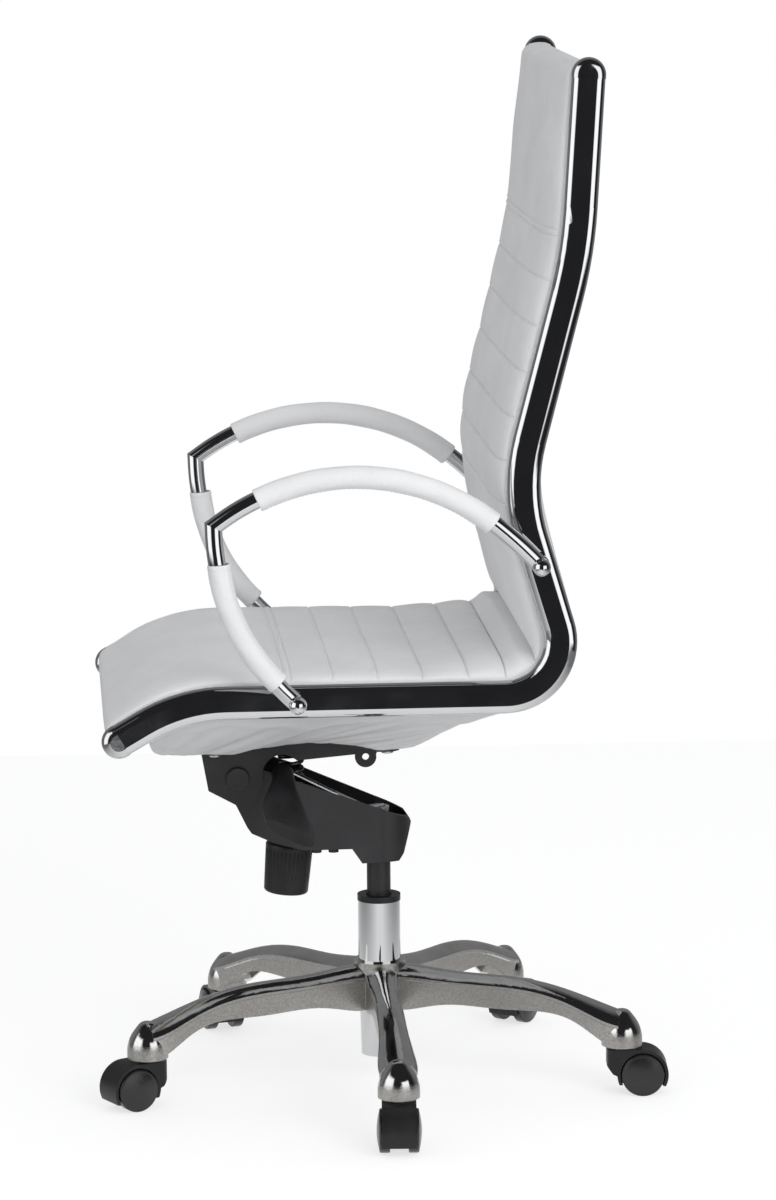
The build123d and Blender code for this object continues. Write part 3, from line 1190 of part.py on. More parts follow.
wheel_axis = Axis((CASTOR_TRAIL, 0, WHEEL_RADIUS), (0, 1, 0))
with BuildPart() as wheel:
    with BuildSketch(Plane(origin=(CASTOR_TRAIL, 0, WHEEL_RADIUS), x_dir=(0, 1, 0), z_dir=(1, 0, 0))):
        with BuildLine():
            bore = AXLE_RADIUS + RUNNING_GAP
            Polyline(
                (WHEEL_INNER, bore), (WHEEL_INNER, WHEEL_RADIUS - 1), (WHEEL_INNER + 1, WHEEL_RADIUS),
                (WHEEL_TREAD_END, WHEEL_RADIUS),
            )
            shoulder = ThreePointArc(
                (WHEEL_TREAD_END, WHEEL_RADIUS), (WHEEL_TREAD_END + 1.6, WHEEL_RADIUS - 0.9),
                (WHEEL_TREAD_END + 2, WHEEL_RIM),
            )
            dome_middle = (WHEEL_FACE - 0.3 * (WHEEL_FACE - WHEEL_TREAD_END - 2), WHEEL_RIM / 2 + 1)
            ThreePointArc(shoulder @ 1, dome_middle, (WHEEL_FACE, WHEEL_NUB))
            Polyline(
                (WHEEL_FACE, WHEEL_NUB), (WHEEL_FACE, 0), (AXLE_END + LOOSE_GAP, 0),
                (AXLE_END + LOOSE_GAP, bore), (WHEEL_INNER, bore),
            )
        make_face()
    revolve(axis=wheel_axis)

with BuildPart() as other_wheel:
    mirror(wheel.part, about=Plane.XZ)

for number in range(LEG_COUNT):
    standing = castor_location(number)
    name = f"caster_hood_{number + 1}"
    with BuildPart() as placed_hood:
        with Locations(standing):
            add(hood.part)
    placed_hood.part.label = name
    export_step(placed_hood.part, f"parts/{name}.step")

    name = f"caster_axle_{number + 1}"
    with BuildPart() as placed_axle:
        with Locations(standing):
            add(axle.part)
    placed_axle.part.label = name
    export_step(placed_axle.part, f"parts/{name}.step")

    for letter, source in (("a", wheel), ("b", other_wheel)):
        name = f"caster_wheel_{number + 1}{letter}"
        with BuildPart() as placed_wheel:
            with Locations(standing):
                add(source.part)
        placed_wheel.part.label = name
        export_step(placed_wheel.part, f"parts/{name}.step")
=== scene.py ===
"""Looks of a swivel office chair: leather on bent chrome rails, arm loops, mechanism, castor base.

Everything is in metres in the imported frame: +Z up, the sitter faces -Y, +X is the sitter's left.
"""
import json
from math import atan2, copysign, cos, exp, hypot, pi, radians, sin, sqrt, tan

import bmesh
import bpy
import numpy
from mathutils import Matrix, Vector
from mathutils.bvhtree import BVHTree


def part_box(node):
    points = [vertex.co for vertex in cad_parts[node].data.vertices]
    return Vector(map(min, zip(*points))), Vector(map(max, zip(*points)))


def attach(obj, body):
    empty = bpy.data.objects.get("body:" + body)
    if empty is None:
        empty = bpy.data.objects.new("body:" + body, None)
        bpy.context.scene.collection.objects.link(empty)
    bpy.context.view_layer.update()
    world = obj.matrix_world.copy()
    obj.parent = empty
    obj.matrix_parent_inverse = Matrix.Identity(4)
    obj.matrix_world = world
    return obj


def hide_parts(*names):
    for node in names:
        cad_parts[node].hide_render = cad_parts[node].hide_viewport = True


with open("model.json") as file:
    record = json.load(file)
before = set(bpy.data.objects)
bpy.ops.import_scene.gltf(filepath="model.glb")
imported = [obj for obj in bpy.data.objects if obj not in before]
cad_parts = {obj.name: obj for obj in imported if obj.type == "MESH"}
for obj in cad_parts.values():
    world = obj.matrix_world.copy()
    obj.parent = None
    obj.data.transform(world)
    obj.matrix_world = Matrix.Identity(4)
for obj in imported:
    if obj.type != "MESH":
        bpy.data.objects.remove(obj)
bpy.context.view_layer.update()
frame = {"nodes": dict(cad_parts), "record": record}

MM = 0.001

# -------- sizes, in metres
# The rails' centre line in side view (Y, Z), as the CAD bends it, from the seat's front end to the top.
RAIL_CORNERS = (
    (-0.304, 0.4655), (-0.236, 0.505), (0.210, 0.505), (0.140, 0.738), (0.209, 1.0035), (0.2208, 1.1945),
)
RAIL_BENDS = (0.180, 0.062, 0.205, 0.515)  # radii at the corners
PAD_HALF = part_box("back_cushion")[1].x  # half the leather's width, between the rails
SHELL_FACE = 0.0048  # from the centre line to the pads' inner face

# Seams across the seat by their Y, and across the back by their Z.
SEAM_PITCH = 0.0507
SEAT_DOUBLE_Y = -0.1176
SEAT_SEAMS = 4  # single ones
BACK_DOUBLE_Z = 1.025
BACK_SEAMS = 6
DOUBLE_GAP = 0.0075  # between the two lines of a double seam
SEAM_DEPTH = 0.0013
STITCH_PITCH = 0.0052
STITCH_LENGTH = 0.0036
THREAD = 0.00032  # radius of the sewing thread


# -------- the rails' line
HALVINGS = 40  # of a search between two lengths


class SideLine:
    """Straight runs joined by arcs in the Y-Z plane, walked by length from the seat's front end."""

    def __init__(self, corners, bends):
        points = [Vector(corner) for corner in corners]
        self.pieces = []
        here = points[0]
        for before, corner, after, radius in zip(points, points[1:], points[2:], bends):
            going = (corner - before).normalized()
            leaving = (after - corner).normalized()
            turn = -going.angle_signed(leaving)
            tangent = radius * tan(abs(turn) / 2)
            start = corner - going * tangent
            self.pieces.append(("run", here, going, (start - here).length))
            self.pieces.append(("bend", start, going, radius * abs(turn), radius, copysign(1, turn)))
            here = corner + leaving * tangent
        going = (points[-1] - here).normalized()
        self.pieces.append(("run", here, going, (points[-1] - here).length))
        self.length = sum(piece[3] for piece in self.pieces)

    def at(self, distance):
        """Point and unit normal towards the sitter, at that length; the end runs go on past the ends."""
        left = distance
        for piece in self.pieces:
            if left <= piece[3] or piece is self.pieces[-1]:
                break
            left -= piece[3]
        start, going = piece[1], piece[2]
        side = Vector((-going.y, going.x))
        if piece[0] == "run":
            return start + going * left, side
        radius, hand = piece[4], piece[5]
        centre = start + side * (radius * hand)
        spin = Matrix.Rotation(left / radius * hand, 2)
        return centre + spin @ (start - centre), spin @ side

    def spot(self, distance, depth, x):
        """The place in the frame at that length, that far from the centre line, at that X."""
        point, side = self.at(distance)
        point = point + side * depth
        return Vector((x, point.x, point.y))

    def length_where(self, reached, low, high):
        """The length at which the test first holds, between two lengths."""
        for _ in range(HALVINGS):
            middle = (low + high) / 2
            if reached(middle):
                high = middle
            else:
                low = middle
        return high


line = SideLine(RAIL_CORNERS, RAIL_BENDS)


# -------- mesh and curve helpers
CLOTH_FRAMES = 20


def new_piece(name, vertices, faces):
    """A smooth-shaded mesh object in the scene."""
    mesh = bpy.data.meshes.new(name)
    mesh.from_pydata([tuple(vertex) for vertex in vertices], [], faces)
    mesh.validate()
    mesh.polygons.foreach_set("use_smooth", [True] * len(mesh.polygons))
    piece = bpy.data.objects.new(name, mesh)
    bpy.context.scene.collection.objects.link(piece)
    return piece


def closed_piece(name, vertices, faces):
    """A mesh object whose faces all look outwards."""
    piece = new_piece(name, vertices, faces)
    shape = bmesh.new()
    shape.from_mesh(piece.data)
    bmesh.ops.recalc_face_normals(shape, faces=shape.faces)
    shape.to_mesh(piece.data)
    shape.free()
    return piece


def closed_form(name, outer, inner):
    """Joins two grids of places, rows by columns, along all four sides into one closed piece."""
    tall, wide = len(outer), len(outer[0])
    inside = tall * wide
    faces = []
    for r in range(tall - 1):
        for c in range(wide - 1):
            a = r * wide + c
            faces.append((a, a + 1, a + wide + 1, a + wide))
            faces.append((inside + a, inside + a + wide, inside + a + wide + 1, inside + a + 1))
    for r in range(tall - 1):
        for a in (r * wide, r * wide + wide - 1):
            faces.append((a, a + wide, inside + a + wide, inside + a))
    for c in range(wide - 1):
        for a in (c, (tall - 1) * wide + c):
            faces.append((a, a + 1, inside + a + 1, inside + a))
    return closed_piece(name, [spot for row in outer + inner for spot in row], faces)


def band(first, second, count):
    """Faces between two closed rings of that many vertices, from the number of each ring's first."""
    pairs = [(step, (step + 1) % count) for step in range(count)]
    return [(first + a, first + b, second + b, second + a) for a, b in pairs]


def pinned(held, wide, margin):
    """A closed form's vertices that stay: its inner grid, the held rows and some columns at each side."""
    tall = len(held)
    fixed = list(range(tall * wide, 2 * tall * wide))
    for r in range(tall):
        for c in range(wide):
            if held[r] or min(c, wide - 1 - c) < margin:
                fixed.append(r * wide + c)
    return fixed


def subdivide(piece):
    """One round of subdivision, kept in the mesh with what the piece's other modifiers do."""
    piece.modifiers.new("smooth", "SUBSURF").levels = 1
    graph = bpy.context.evaluated_depsgraph_get()
    mesh = bpy.data.meshes.new_from_object(piece.evaluated_get(graph))
    piece.modifiers.clear()
    old = piece.data
    piece.data = mesh
    bpy.data.meshes.remove(old)


def smooth_between(share):
    """0 to 1 with a gentle start and end."""
    share = min(max(share, 0.0), 1.0)
    return share * share * (3 - 2 * share)


def along(stops, place):
    """A value that glides from stop to stop; stops are (place, value) pairs in order."""
    if place <= stops[0][0]:
        return stops[0][1]
    for (low, first), (high, second) in zip(stops, stops[1:]):
        if place <= high:
            return first + (second - first) * smooth_between((place - low) / (high - low))
    return stops[-1][1]


def spread(low, high, step):
    """Evenly spaced places from low to high, both included, about a step apart."""
    count = max(1, round((high - low) / step))
    return [low + (high - low) * number / count for number in range(count + 1)]


def lengths_along(places):
    """The length walked up to each place of a path."""
    lengths = [0.0]
    for before, after in zip(places, places[1:]):
        lengths.append(lengths[-1] + (after - before).length)
    return lengths


def step_at(lengths, target):
    """The number of the step that reaches a length, and the share of it walked by then."""
    number = 1
    while lengths[number] < target and number < len(lengths) - 1:
        number += 1
    before = lengths[number - 1]
    return number, (target - before) / max(lengths[number] - before, 1e-9)


def swell(piece, held, pressure, cap, shrink=0.0, gravity=0.0, stiffness=15.0):
    """Blows a cloth up a little. Held vertices stay, and no other moves further than the cap."""
    scene = bpy.context.scene
    start = [vertex.co.copy() for vertex in piece.data.vertices]
    group = piece.vertex_groups.new(name="held")
    group.add(held, 1.0, "REPLACE")
    cloth = piece.modifiers.new("cloth", "CLOTH")
    rules = cloth.settings
    rules.quality = 6
    rules.mass = 0.3
    rules.tension_stiffness = stiffness
    rules.compression_stiffness = stiffness
    rules.shear_stiffness = stiffness / 3
    rules.bending_stiffness = 0.4
    rules.use_pressure = pressure > 0
    rules.uniform_pressure_force = pressure
    rules.vertex_group_mass = "held"
    rules.shrink_min = shrink
    rules.effector_weights.gravity = gravity
    cloth.collision_settings.use_self_collision = False
    cloth.point_cache.frame_start = 1
    cloth.point_cache.frame_end = CLOTH_FRAMES
    for number in range(1, CLOTH_FRAMES + 1):
        scene.frame_set(number)
    graph = bpy.context.evaluated_depsgraph_get()
    moved = [vertex.co.copy() for vertex in piece.evaluated_get(graph).data.vertices]
    piece.modifiers.remove(cloth)
    piece.vertex_groups.remove(group)
    for vertex, was, now in zip(piece.data.vertices, start, moved):
        step = now - was
        if step.length > cap:
            step *= cap / step.length
        vertex.co = was + step
    scene.frame_set(1)


# -------- padded leather
EDGE = 0.0195  # a pad's depth at the rail
NOSE = 0.0155  # how far the leather wraps past the rails' ends
NOSE_SHAPE = 0.8  # the power of the wrap's round; below 1 it is boxier
NOSE_STEPS = 12
REAR_DEPTH = -0.0175  # where the wrapped leather ends, behind the centre line
LEATHER = 0.0012
CREASE_BEND = line.pieces[3]  # the bend between seat and back
BEND_START = sum(piece[3] for piece in line.pieces[:3])
CREASE_TURN = radians(76)  # of the bend, before the crease
CREASE_MID = BEND_START + CREASE_BEND[4] * CREASE_TURN
CREASE_DROP = 0.022  # how much sooner the crease comes at the rails
CREASE_REACH = 0.075  # how far from the crease the rows still follow its bow
CREASE_DEPTH = 0.012  # the crease's foot, over the centre line
CREASE_LIP = 0.010  # the face starts this far over the foot
CREASE_ROLL = 0.016  # and has its full depth this far from the crease
LIP_TOP, LIP_ROWS = 0.020, 3  # the rows that climb from the crease's foot to the face
PAD_STEP = 0.0095
PAD_COLUMNS = 56
SEAM_ROWS = (0.0010, 0.0030)  # a seam's nearest row, and where the even rows start again

# What follows is given as stops: lengths along the line, each with its value there.
SEAT_CROWN = (  # depth of the seat's face, over the centre line
    (-0.010, 0.0240), (0.060, 0.0290), (0.140, 0.0325), (0.240, 0.0318), (0.345, 0.0300),
    (0.400, 0.0345), (0.440, 0.0390), (0.495, 0.0415), (0.530, 0.0340),
)
BACK_CROWN = (  # depth of the back's face
    (0.510, 0.0330), (0.560, 0.0400), (0.610, 0.0375), (0.700, 0.0320), (0.830, 0.0355),
    (0.980, 0.0415), (1.080, 0.0390), (1.178, 0.0320),
)
FULLNESS = ((0.0, 5.0), (0.10, 8.0), (0.80, 8.0), (1.00, 3.6), (1.178, 3.6))  # how boxy it is across
# How far the rolls fall off towards their seams.
SEAT_PUFF = ((0.10, 0.0006), (0.30, 0.0012), (0.38, 0.0022), (0.44, 0.0042), (0.50, 0.0048))
BACK_PUFF = ((0.58, 0.0040), (0.68, 0.0026), (0.80, 0.0018), (1.03, 0.0006))
ROLL_SHAPE = 2.4  # the power of a roll's section between two seams
ROLL_SPAN = 0.075  # a roll longer than this falls off less
ROLL_LOSS, ROLL_SIDE = 0.6, 12  # the share of that fall which is lost at the rails, and its power


def seat_length(y):
    """The length along the line at that Y on the flat of the seat."""
    return line.length_where(lambda distance: line.spot(distance, 0, 0).y >= y, 0, BEND_START)


def back_length(z):
    """The length along the line where the back's face passes that Z."""
    depth = 0.036
    return line.length_where(lambda distance: line.spot(distance, depth, 0).z >= z, CREASE_MID, line.length)


def crease_at(u):
    """Where the crease is, across the width from -1 to 1."""
    return CREASE_MID - CREASE_DROP * abs(u) ** 3


def across(count):
    """Places from -1 to 1, closer together near the ends."""
    return [sin(pi / 2 * (2 * number / count - 1)) for number in range(count + 1)]


class Pad:
    """A stuffed leather form between the rails: rows along the line, columns across it."""

    def __init__(self, name, crown, puff, seams, end):
        self.name = name
        self.crown = crown
        self.puff = puff
        self.seams = sorted(seams)
        self.end = end  # the rails' end that the leather wraps: 0 or the line's length
        self.outwards = 1 if end > 0 else -1
        self.columns = across(PAD_COLUMNS)
        self.marks = sorted([end, *self.seams, CREASE_MID])

    def face_depth(self, distance, u):
        """Depth of the leather's face, with its rolls and without its seams."""
        full = along(FULLNESS, distance)
        top = along(self.crown, distance)
        depth = EDGE + (top - EDGE) * (1 - abs(u) ** full) ** 0.5
        for low, high in zip(self.marks, self.marks[1:]):
            if low <= distance <= high:
                share = (distance - low) / (high - low)
                roll = 1 - abs(2 * share - 1) ** ROLL_SHAPE
                spare = min(1.0, ROLL_SPAN / (high - low))
                beside = 1 - ROLL_LOSS * abs(u) ** ROLL_SIDE
                depth += along(self.puff, distance) * (roll - 1) * beside * spare
        return depth

    def rows(self):
        """Lengths of the face's rows: even steps, with close rows at each seam."""
        close, clear = SEAM_ROWS
        places = []
        for low, high in zip(self.marks, self.marks[1:]):
            start = low + (clear if low in self.seams else 0)
            stop = high - (clear if high in self.seams else 0)
            places += spread(start, stop, PAD_STEP)
        for seam in self.seams:
            places += [seam - close, seam, seam + close]
        return sorted(set(places))

    def fitted(self, distance, u):
        """A row's length at u, where the rows near the crease follow its bow."""
        share = smooth_between(1 - abs(CREASE_MID - distance) / CREASE_REACH)
        return distance + (crease_at(u) - CREASE_MID) * share

    def flat_row(self, distance, depth):
        """A row of one depth all across."""
        return [line.spot(self.fitted(distance, u), depth, u * PAD_HALF) for u in self.columns]

    def face_row(self, distance, seam):
        """A row of the face, which dives into the crease and dips at a seam."""
        fade = smooth_between(abs(distance - CREASE_MID) / CREASE_ROLL)
        row = []
        for u in self.columns:
            depth = self.face_depth(distance, u) - CREASE_DEPTH - CREASE_LIP
            depth = CREASE_DEPTH + CREASE_LIP + depth * sqrt(fade)
            if seam:
                depth -= SEAM_DEPTH
            row.append(line.spot(self.fitted(distance, u), depth, u * PAD_HALF))
        return row

    def wrap_row(self, step):
        """A row of the leather that is drawn round the rails' end, down to its rear."""
        angle = pi * step / NOSE_STEPS
        bulge = sin(angle) ** NOSE_SHAPE if step < NOSE_STEPS else 0.0
        place = self.end + self.outwards * NOSE * bulge
        row = []
        for u in self.columns:
            depth = self.face_depth(self.end, u)
            middle, half = (depth + REAR_DEPTH) / 2, (depth - REAR_DEPTH) / 2
            row.append(line.spot(place, middle + half * cos(angle), u * PAD_HALF))
        return row

    def build(self):
        """The closed form: a lip in the crease, the face, and the wrap round the rails' end."""
        outer, inner, held = [], [], []
        for step in range(LIP_ROWS):
            lip = CREASE_DEPTH + (LIP_TOP - CREASE_DEPTH) * step / LIP_ROWS
            outer.append(self.flat_row(CREASE_MID, lip))
            inner.append(self.flat_row(CREASE_MID, SHELL_FACE))
            held.append(True)
        for distance in self.rows()[::self.outwards]:
            seam = any(abs(distance - mark) < 1e-6 for mark in self.seams)
            outer.append(self.face_row(distance, seam))
            inner.append(self.flat_row(distance, SHELL_FACE))
            held.append(seam or distance == CREASE_MID)
        for step in range(1, NOSE_STEPS + 1):
            under = SHELL_FACE + (REAR_DEPTH + LEATHER - SHELL_FACE) * (step / NOSE_STEPS)
            outer.append(self.wrap_row(step))
            inner.append(self.flat_row(self.end + self.outwards * MM, under))
            held.append(step > NOSE_STEPS - 3)
        piece = closed_form(self.name, outer, inner)
        swell(piece, pinned(held, len(self.columns), 2), pressure=4.0, cap=0.005)
        subdivide(piece)
        return piece


def seams_from(length_at, double, pitch, count):
    """A double seam at a place, then single ones at an even pitch, as lengths along the line."""
    middle = length_at(double)
    seams = [middle - DOUBLE_GAP / 2, middle + DOUBLE_GAP / 2]
    return seams + [length_at(double + pitch * number) for number in range(1, count + 1)]


seat_seams = seams_from(seat_length, SEAT_DOUBLE_Y, SEAM_PITCH, SEAT_SEAMS)
seat_seams.append(BEND_START + 0.002)  # a fold at the start of the bend, which isn't sewn
back_seams = seams_from(back_length, BACK_DOUBLE_Z, -SEAM_PITCH, BACK_SEAMS)

seat_leather = Pad("seat_pad_leather", SEAT_CROWN, SEAT_PUFF, seat_seams, 0.0).build()
back_leather = Pad("back_pad_leather", BACK_CROWN, BACK_PUFF, back_seams, line.length).build()


# -------- materials
def shader(name, colour, roughness, metallic=0.0, **settings):
    """A new material: its node tree and its Principled shader."""
    material = bpy.data.materials.new(name)
    material.use_nodes = True
    tree = material.node_tree
    surface = tree.nodes["Principled BSDF"]
    surface.inputs["Base Color"].default_value = (*colour, 1.0)
    surface.inputs["Roughness"].default_value = roughness
    surface.inputs["Metallic"].default_value = metallic
    for socket, value in settings.items():
        surface.inputs[socket.replace("_", " ")].default_value = value
    return material, tree, surface


def node(tree, kind, **settings):
    """A node with inputs set by name, or by number as i0, i1; a value that is a socket is linked."""
    made = tree.nodes.new(kind)
    for name, value in settings.items():
        if hasattr(made, name):
            setattr(made, name, value)
            continue
        numbered = name[0] == "i" and name[1:].isdigit()
        socket = made.inputs[int(name[1:]) if numbered else name]
        if isinstance(value, bpy.types.NodeSocket):
            tree.links.new(value, socket)
        else:
            socket.default_value = value
    return made


def maths(tree, operation, *values):
    """The result of a Math node."""
    inputs = {f"i{number}": value for number, value in enumerate(values)}
    return node(tree, "ShaderNodeMath", operation=operation, **inputs).outputs[0]


def place_on(tree, scale=(1, 1, 1)):
    """The place on the piece, in metres, stretched by a scale for each axis."""
    place = node(tree, "ShaderNodeTexCoord").outputs["Object"]
    return node(tree, "ShaderNodeMapping", Vector=place, Scale=scale).outputs["Vector"]


def noise(tree, size, detail=3.0, vector=None):
    """Noise with features of about that size in metres."""
    vector = vector or place_on(tree)
    return node(tree, "ShaderNodeTexNoise", Vector=vector, Scale=1 / size, Detail=detail).outputs["Fac"]


def remap(tree, value, low=0.0, high=1.0, start=0.35, stop=0.65):
    """A value's stretch from start to stop brought to a range; noise lies mostly in the default one."""
    made = node(tree, "ShaderNodeMapRange", Value=value)
    made.inputs["From Min"].default_value = start
    made.inputs["From Max"].default_value = stop
    made.inputs["To Min"].default_value = low
    made.inputs["To Max"].default_value = high
    return made.outputs["Result"]


def rise(tree, value, start, stop):
    """0 below start, 1 above stop."""
    return remap(tree, value, 0.0, 1.0, start, stop)


def blend_colours(tree, share, first, second):
    """Two colours mixed by a share from 0 to 1."""
    mix = tree.nodes.new("ShaderNodeMix")
    mix.data_type = "RGBA"
    tree.links.new(share, mix.inputs["Factor"])
    for socket, colour in ((mix.inputs[6], first), (mix.inputs[7], second)):
        if isinstance(colour, bpy.types.NodeSocket):
            tree.links.new(colour, socket)
        else:
            socket.default_value = (*colour, 1.0)
    return mix.outputs[2]


def add_bump(tree, surface, height, distance, strength=1.0, under=None):
    """Bump of that height in metres, on top of another bump if one is given."""
    made = node(tree, "ShaderNodeBump", Height=height, Distance=distance, Strength=strength)
    if under:
        tree.links.new(under, made.inputs["Normal"])
    tree.links.new(made.outputs["Normal"], surface.inputs["Normal"])
    return made.outputs["Normal"]


def tinted(tree, surface, share, first, second):
    """Paints a surface with two colours, mixed by a share."""
    tree.links.new(blend_colours(tree, share, first, second), surface.inputs["Base Color"])


def roughened(tree, surface, value, low, high):
    """Makes a surface's roughness follow a noise, in a range."""
    tree.links.new(remap(tree, value, low, high), surface.inputs["Roughness"])


def white_leather():
    """Fine-grained white leather: pebbled grain, soft creases, slightly uneven colour."""
    pebble, crease, cloud, worn_spot = 0.0011, 0.006, 0.09, 0.02
    colour = (0.80, 0.80, 0.81)
    material, tree, surface = shader("white_leather", colour, 0.46, Specular_IOR_Level=0.42)
    cells = node(
        tree, "ShaderNodeTexVoronoi", Vector=place_on(tree), Scale=1 / pebble, feature="DISTANCE_TO_EDGE",
    ).outputs["Distance"]
    grain = rise(tree, cells, 0.0, 0.22)
    folds = noise(tree, crease, 4.0)
    clouds = noise(tree, cloud, 2.0)
    tint = blend_colours(tree, remap(tree, clouds), (0.775, 0.775, 0.785), (0.830, 0.830, 0.835))
    tinted(tree, surface, rise(tree, grain, 0.0, 0.5), (0.70, 0.70, 0.71), tint)
    roughened(tree, surface, noise(tree, worn_spot), 0.40, 0.54)
    soft = add_bump(tree, surface, folds, 0.00035)
    add_bump(tree, surface, grain, 0.00009, under=soft)
    return material


def sewing_thread():
    """Twisted white thread."""
    twist_length = 0.0009
    material, tree, surface = shader("sewing_thread", (0.74, 0.74, 0.73), 0.6)
    twist = node(tree, "ShaderNodeTexWave", Vector=place_on(tree), Scale=1 / twist_length).outputs["Fac"]
    tinted(tree, surface, twist, (0.66, 0.66, 0.65), (0.80, 0.80, 0.79))
    add_bump(tree, surface, twist, 0.00008)
    return material


def chrome():
    """Mirror chrome with faint hairlines and haze."""
    cloud, hairline = 0.045, 0.0012
    material, tree, surface = shader("chrome", (0.60, 0.605, 0.615), 0.04, 1.0)
    haze = noise(tree, cloud)
    lines = noise(tree, hairline, 2.0, place_on(tree, (1.0, 0.12, 1.0)))
    roughened(tree, surface, haze, 0.03, 0.075)
    tinted(tree, surface, haze, (0.57, 0.577, 0.59), (0.63, 0.635, 0.64))
    add_bump(tree, surface, lines, 0.000004)
    return material


def chrome_plastic():
    """Chromed caps: a softer mirror with a slight orange peel."""
    pimple, cloud = 0.004, 0.02
    material, tree, surface = shader("chrome_plastic", (0.56, 0.565, 0.57), 0.08, 1.0)
    peel = noise(tree, pimple, 1.0)
    roughened(tree, surface, noise(tree, cloud), 0.05, 0.12)
    tinted(tree, surface, peel, (0.53, 0.535, 0.54), (0.59, 0.595, 0.60))
    add_bump(tree, surface, peel, 0.00002)
    return material


def cast_aluminium():
    """Polished casting whose recessed flanks stay matte and grainy."""
    sand_grain, mark = 0.0022, 0.03
    relief = 0.00025
    material, tree, surface = shader("polished_aluminium", (0.56, 0.56, 0.55), 0.12, 1.0)
    facing = node(tree, "ShaderNodeNewGeometry").outputs["Normal"]
    upright = node(tree, "ShaderNodeSeparateXYZ", Vector=facing).outputs["Z"]
    polished = rise(tree, maths(tree, "ABSOLUTE", upright), 0.10, 0.30)
    casting = noise(tree, sand_grain, 4.0)
    marks = noise(tree, mark)
    matte = blend_colours(tree, remap(tree, casting), (0.31, 0.302, 0.290), (0.43, 0.417, 0.400))
    bright = blend_colours(tree, remap(tree, marks), (0.52, 0.52, 0.515), (0.60, 0.60, 0.59))
    tinted(tree, surface, polished, matte, bright)
    tree.links.new(remap(tree, polished, 0.34, 0.09, 0.0, 1.0), surface.inputs["Roughness"])
    wavy = add_bump(tree, surface, marks, relief, 0.5)
    unpolished = maths(tree, "SUBTRACT", 1.0, polished)
    add_bump(tree, surface, maths(tree, "MULTIPLY", casting, unpolished), relief, under=wavy)
    return material


def painted_metal(name, colour, roughness, grain):
    """Powder-coated metal: fine orange peel and a few lighter rubs."""
    material, tree, surface = shader(name, colour, roughness)
    peel = noise(tree, grain, 2.0)
    rubs = noise(tree, 0.05, 5.0)
    lighter = tuple(channel * 1.7 + 0.004 for channel in colour)
    tinted(tree, surface, rise(tree, rubs, 0.45, 0.75), colour, lighter)
    roughened(tree, surface, rubs, roughness - 0.06, roughness + 0.08)
    add_bump(tree, surface, peel, grain * 0.045)
    return material


def moulded(name, colour, roughness, grain, depth, shine=0.5):
    """Moulded plastic with a spark-eroded grain."""
    material, tree, surface = shader(name, colour, roughness, Specular_IOR_Level=shine)
    pits = node(tree, "ShaderNodeTexVoronoi", Vector=place_on(tree), Scale=1 / grain).outputs["Distance"]
    flow = noise(tree, 0.03)
    lighter = tuple(channel * 1.35 + 0.002 for channel in colour)
    tinted(tree, surface, remap(tree, flow), colour, lighter)
    roughened(tree, surface, flow, roughness - 0.04, roughness + 0.06)
    add_bump(tree, surface, pits, depth)
    return material


def plated_steel(name, colour, roughness):
    """Bright steel with fine turning lines."""
    material, tree, surface = shader(name, colour, roughness, 1.0)
    lines = noise(tree, 0.0008, 2.0, place_on(tree, (1.0, 1.0, 0.1)))
    blotch = noise(tree, 0.01)
    darker = tuple(channel * 0.8 for channel in colour)
    tinted(tree, surface, remap(tree, blotch), darker, colour)
    roughened(tree, surface, blotch, roughness - 0.05, roughness + 0.10)
    add_bump(tree, surface, lines, 0.00002)
    return material


def plywood():
    """Thin birch plies on edge."""
    material, tree, surface = shader("plywood", (0.50, 0.36, 0.22), 0.6)
    grain = noise(tree, 0.004, 5.0, place_on(tree, (6.0, 1.0, 1.0)))
    tinted(tree, surface, remap(tree, grain), (0.42, 0.29, 0.17), (0.60, 0.45, 0.29))
    add_bump(tree, surface, grain, 0.0001)
    return material


LEATHER_LOOK = white_leather()
THREAD_LOOK = sewing_thread()
LOOKS = {
    "chrome": chrome(),
    "chrome_plastic": chrome_plastic(),
    "base_aluminium": cast_aluminium(),
    "white_leather": LEATHER_LOOK,
    "plywood": plywood(),
    "black_metal": painted_metal("black_metal", (0.011, 0.011, 0.0125), 0.46, 0.0012),
    "black_plastic": moulded("black_plastic", (0.011, 0.011, 0.012), 0.40, 0.0009, 0.00005, 0.30),
    "gloss_black": moulded("gloss_black", (0.012, 0.012, 0.013), 0.26, 0.0016, 0.00001),
    "white_nylon": moulded("white_nylon", (0.62, 0.62, 0.58), 0.45, 0.0010, 0.00003),
    "spring_steel": plated_steel("spring_steel", (0.14, 0.14, 0.15), 0.34),
    "zinc_steel": plated_steel("zinc_steel", (0.62, 0.63, 0.65), 0.24),
}


# -------- sewing
STITCH_OFFSET = 0.0030  # from a seam to its stitches
STITCH_RISE, STITCH_SUNK = 1.1, 0.5  # in thread radii: its middle rises, its ends lie sunk
STITCH_THIN, STITCH_THICK = 0.45, 0.55  # its ends' radius, and what its middle adds
SEWN_SHARE = 0.985  # of the leather's width
SEWN_STEP = 0.02  # in half widths, between the places where a run is laid on the leather
CAST_FROM = 0.09  # how far out a ray starts that looks for the leather


class Surface:
    """Finds the outer face of a piece along a line towards the sitter or away from the sitter."""

    def __init__(self, piece, sign=1):
        graph = bpy.context.evaluated_depsgraph_get()
        self.tree = BVHTree.FromObject(piece, graph)
        self.sign = sign

    def under(self, distance, x):
        """The place on the face and its normal, at that length along the line and that X."""
        _, side = line.at(distance)
        inwards = Vector((0, -side.x, -side.y)) * self.sign
        above = line.spot(distance, self.sign * CAST_FROM, x)
        place, normal, _, _ = self.tree.ray_cast(above, inwards, CAST_FROM * 1.5)
        return place, normal


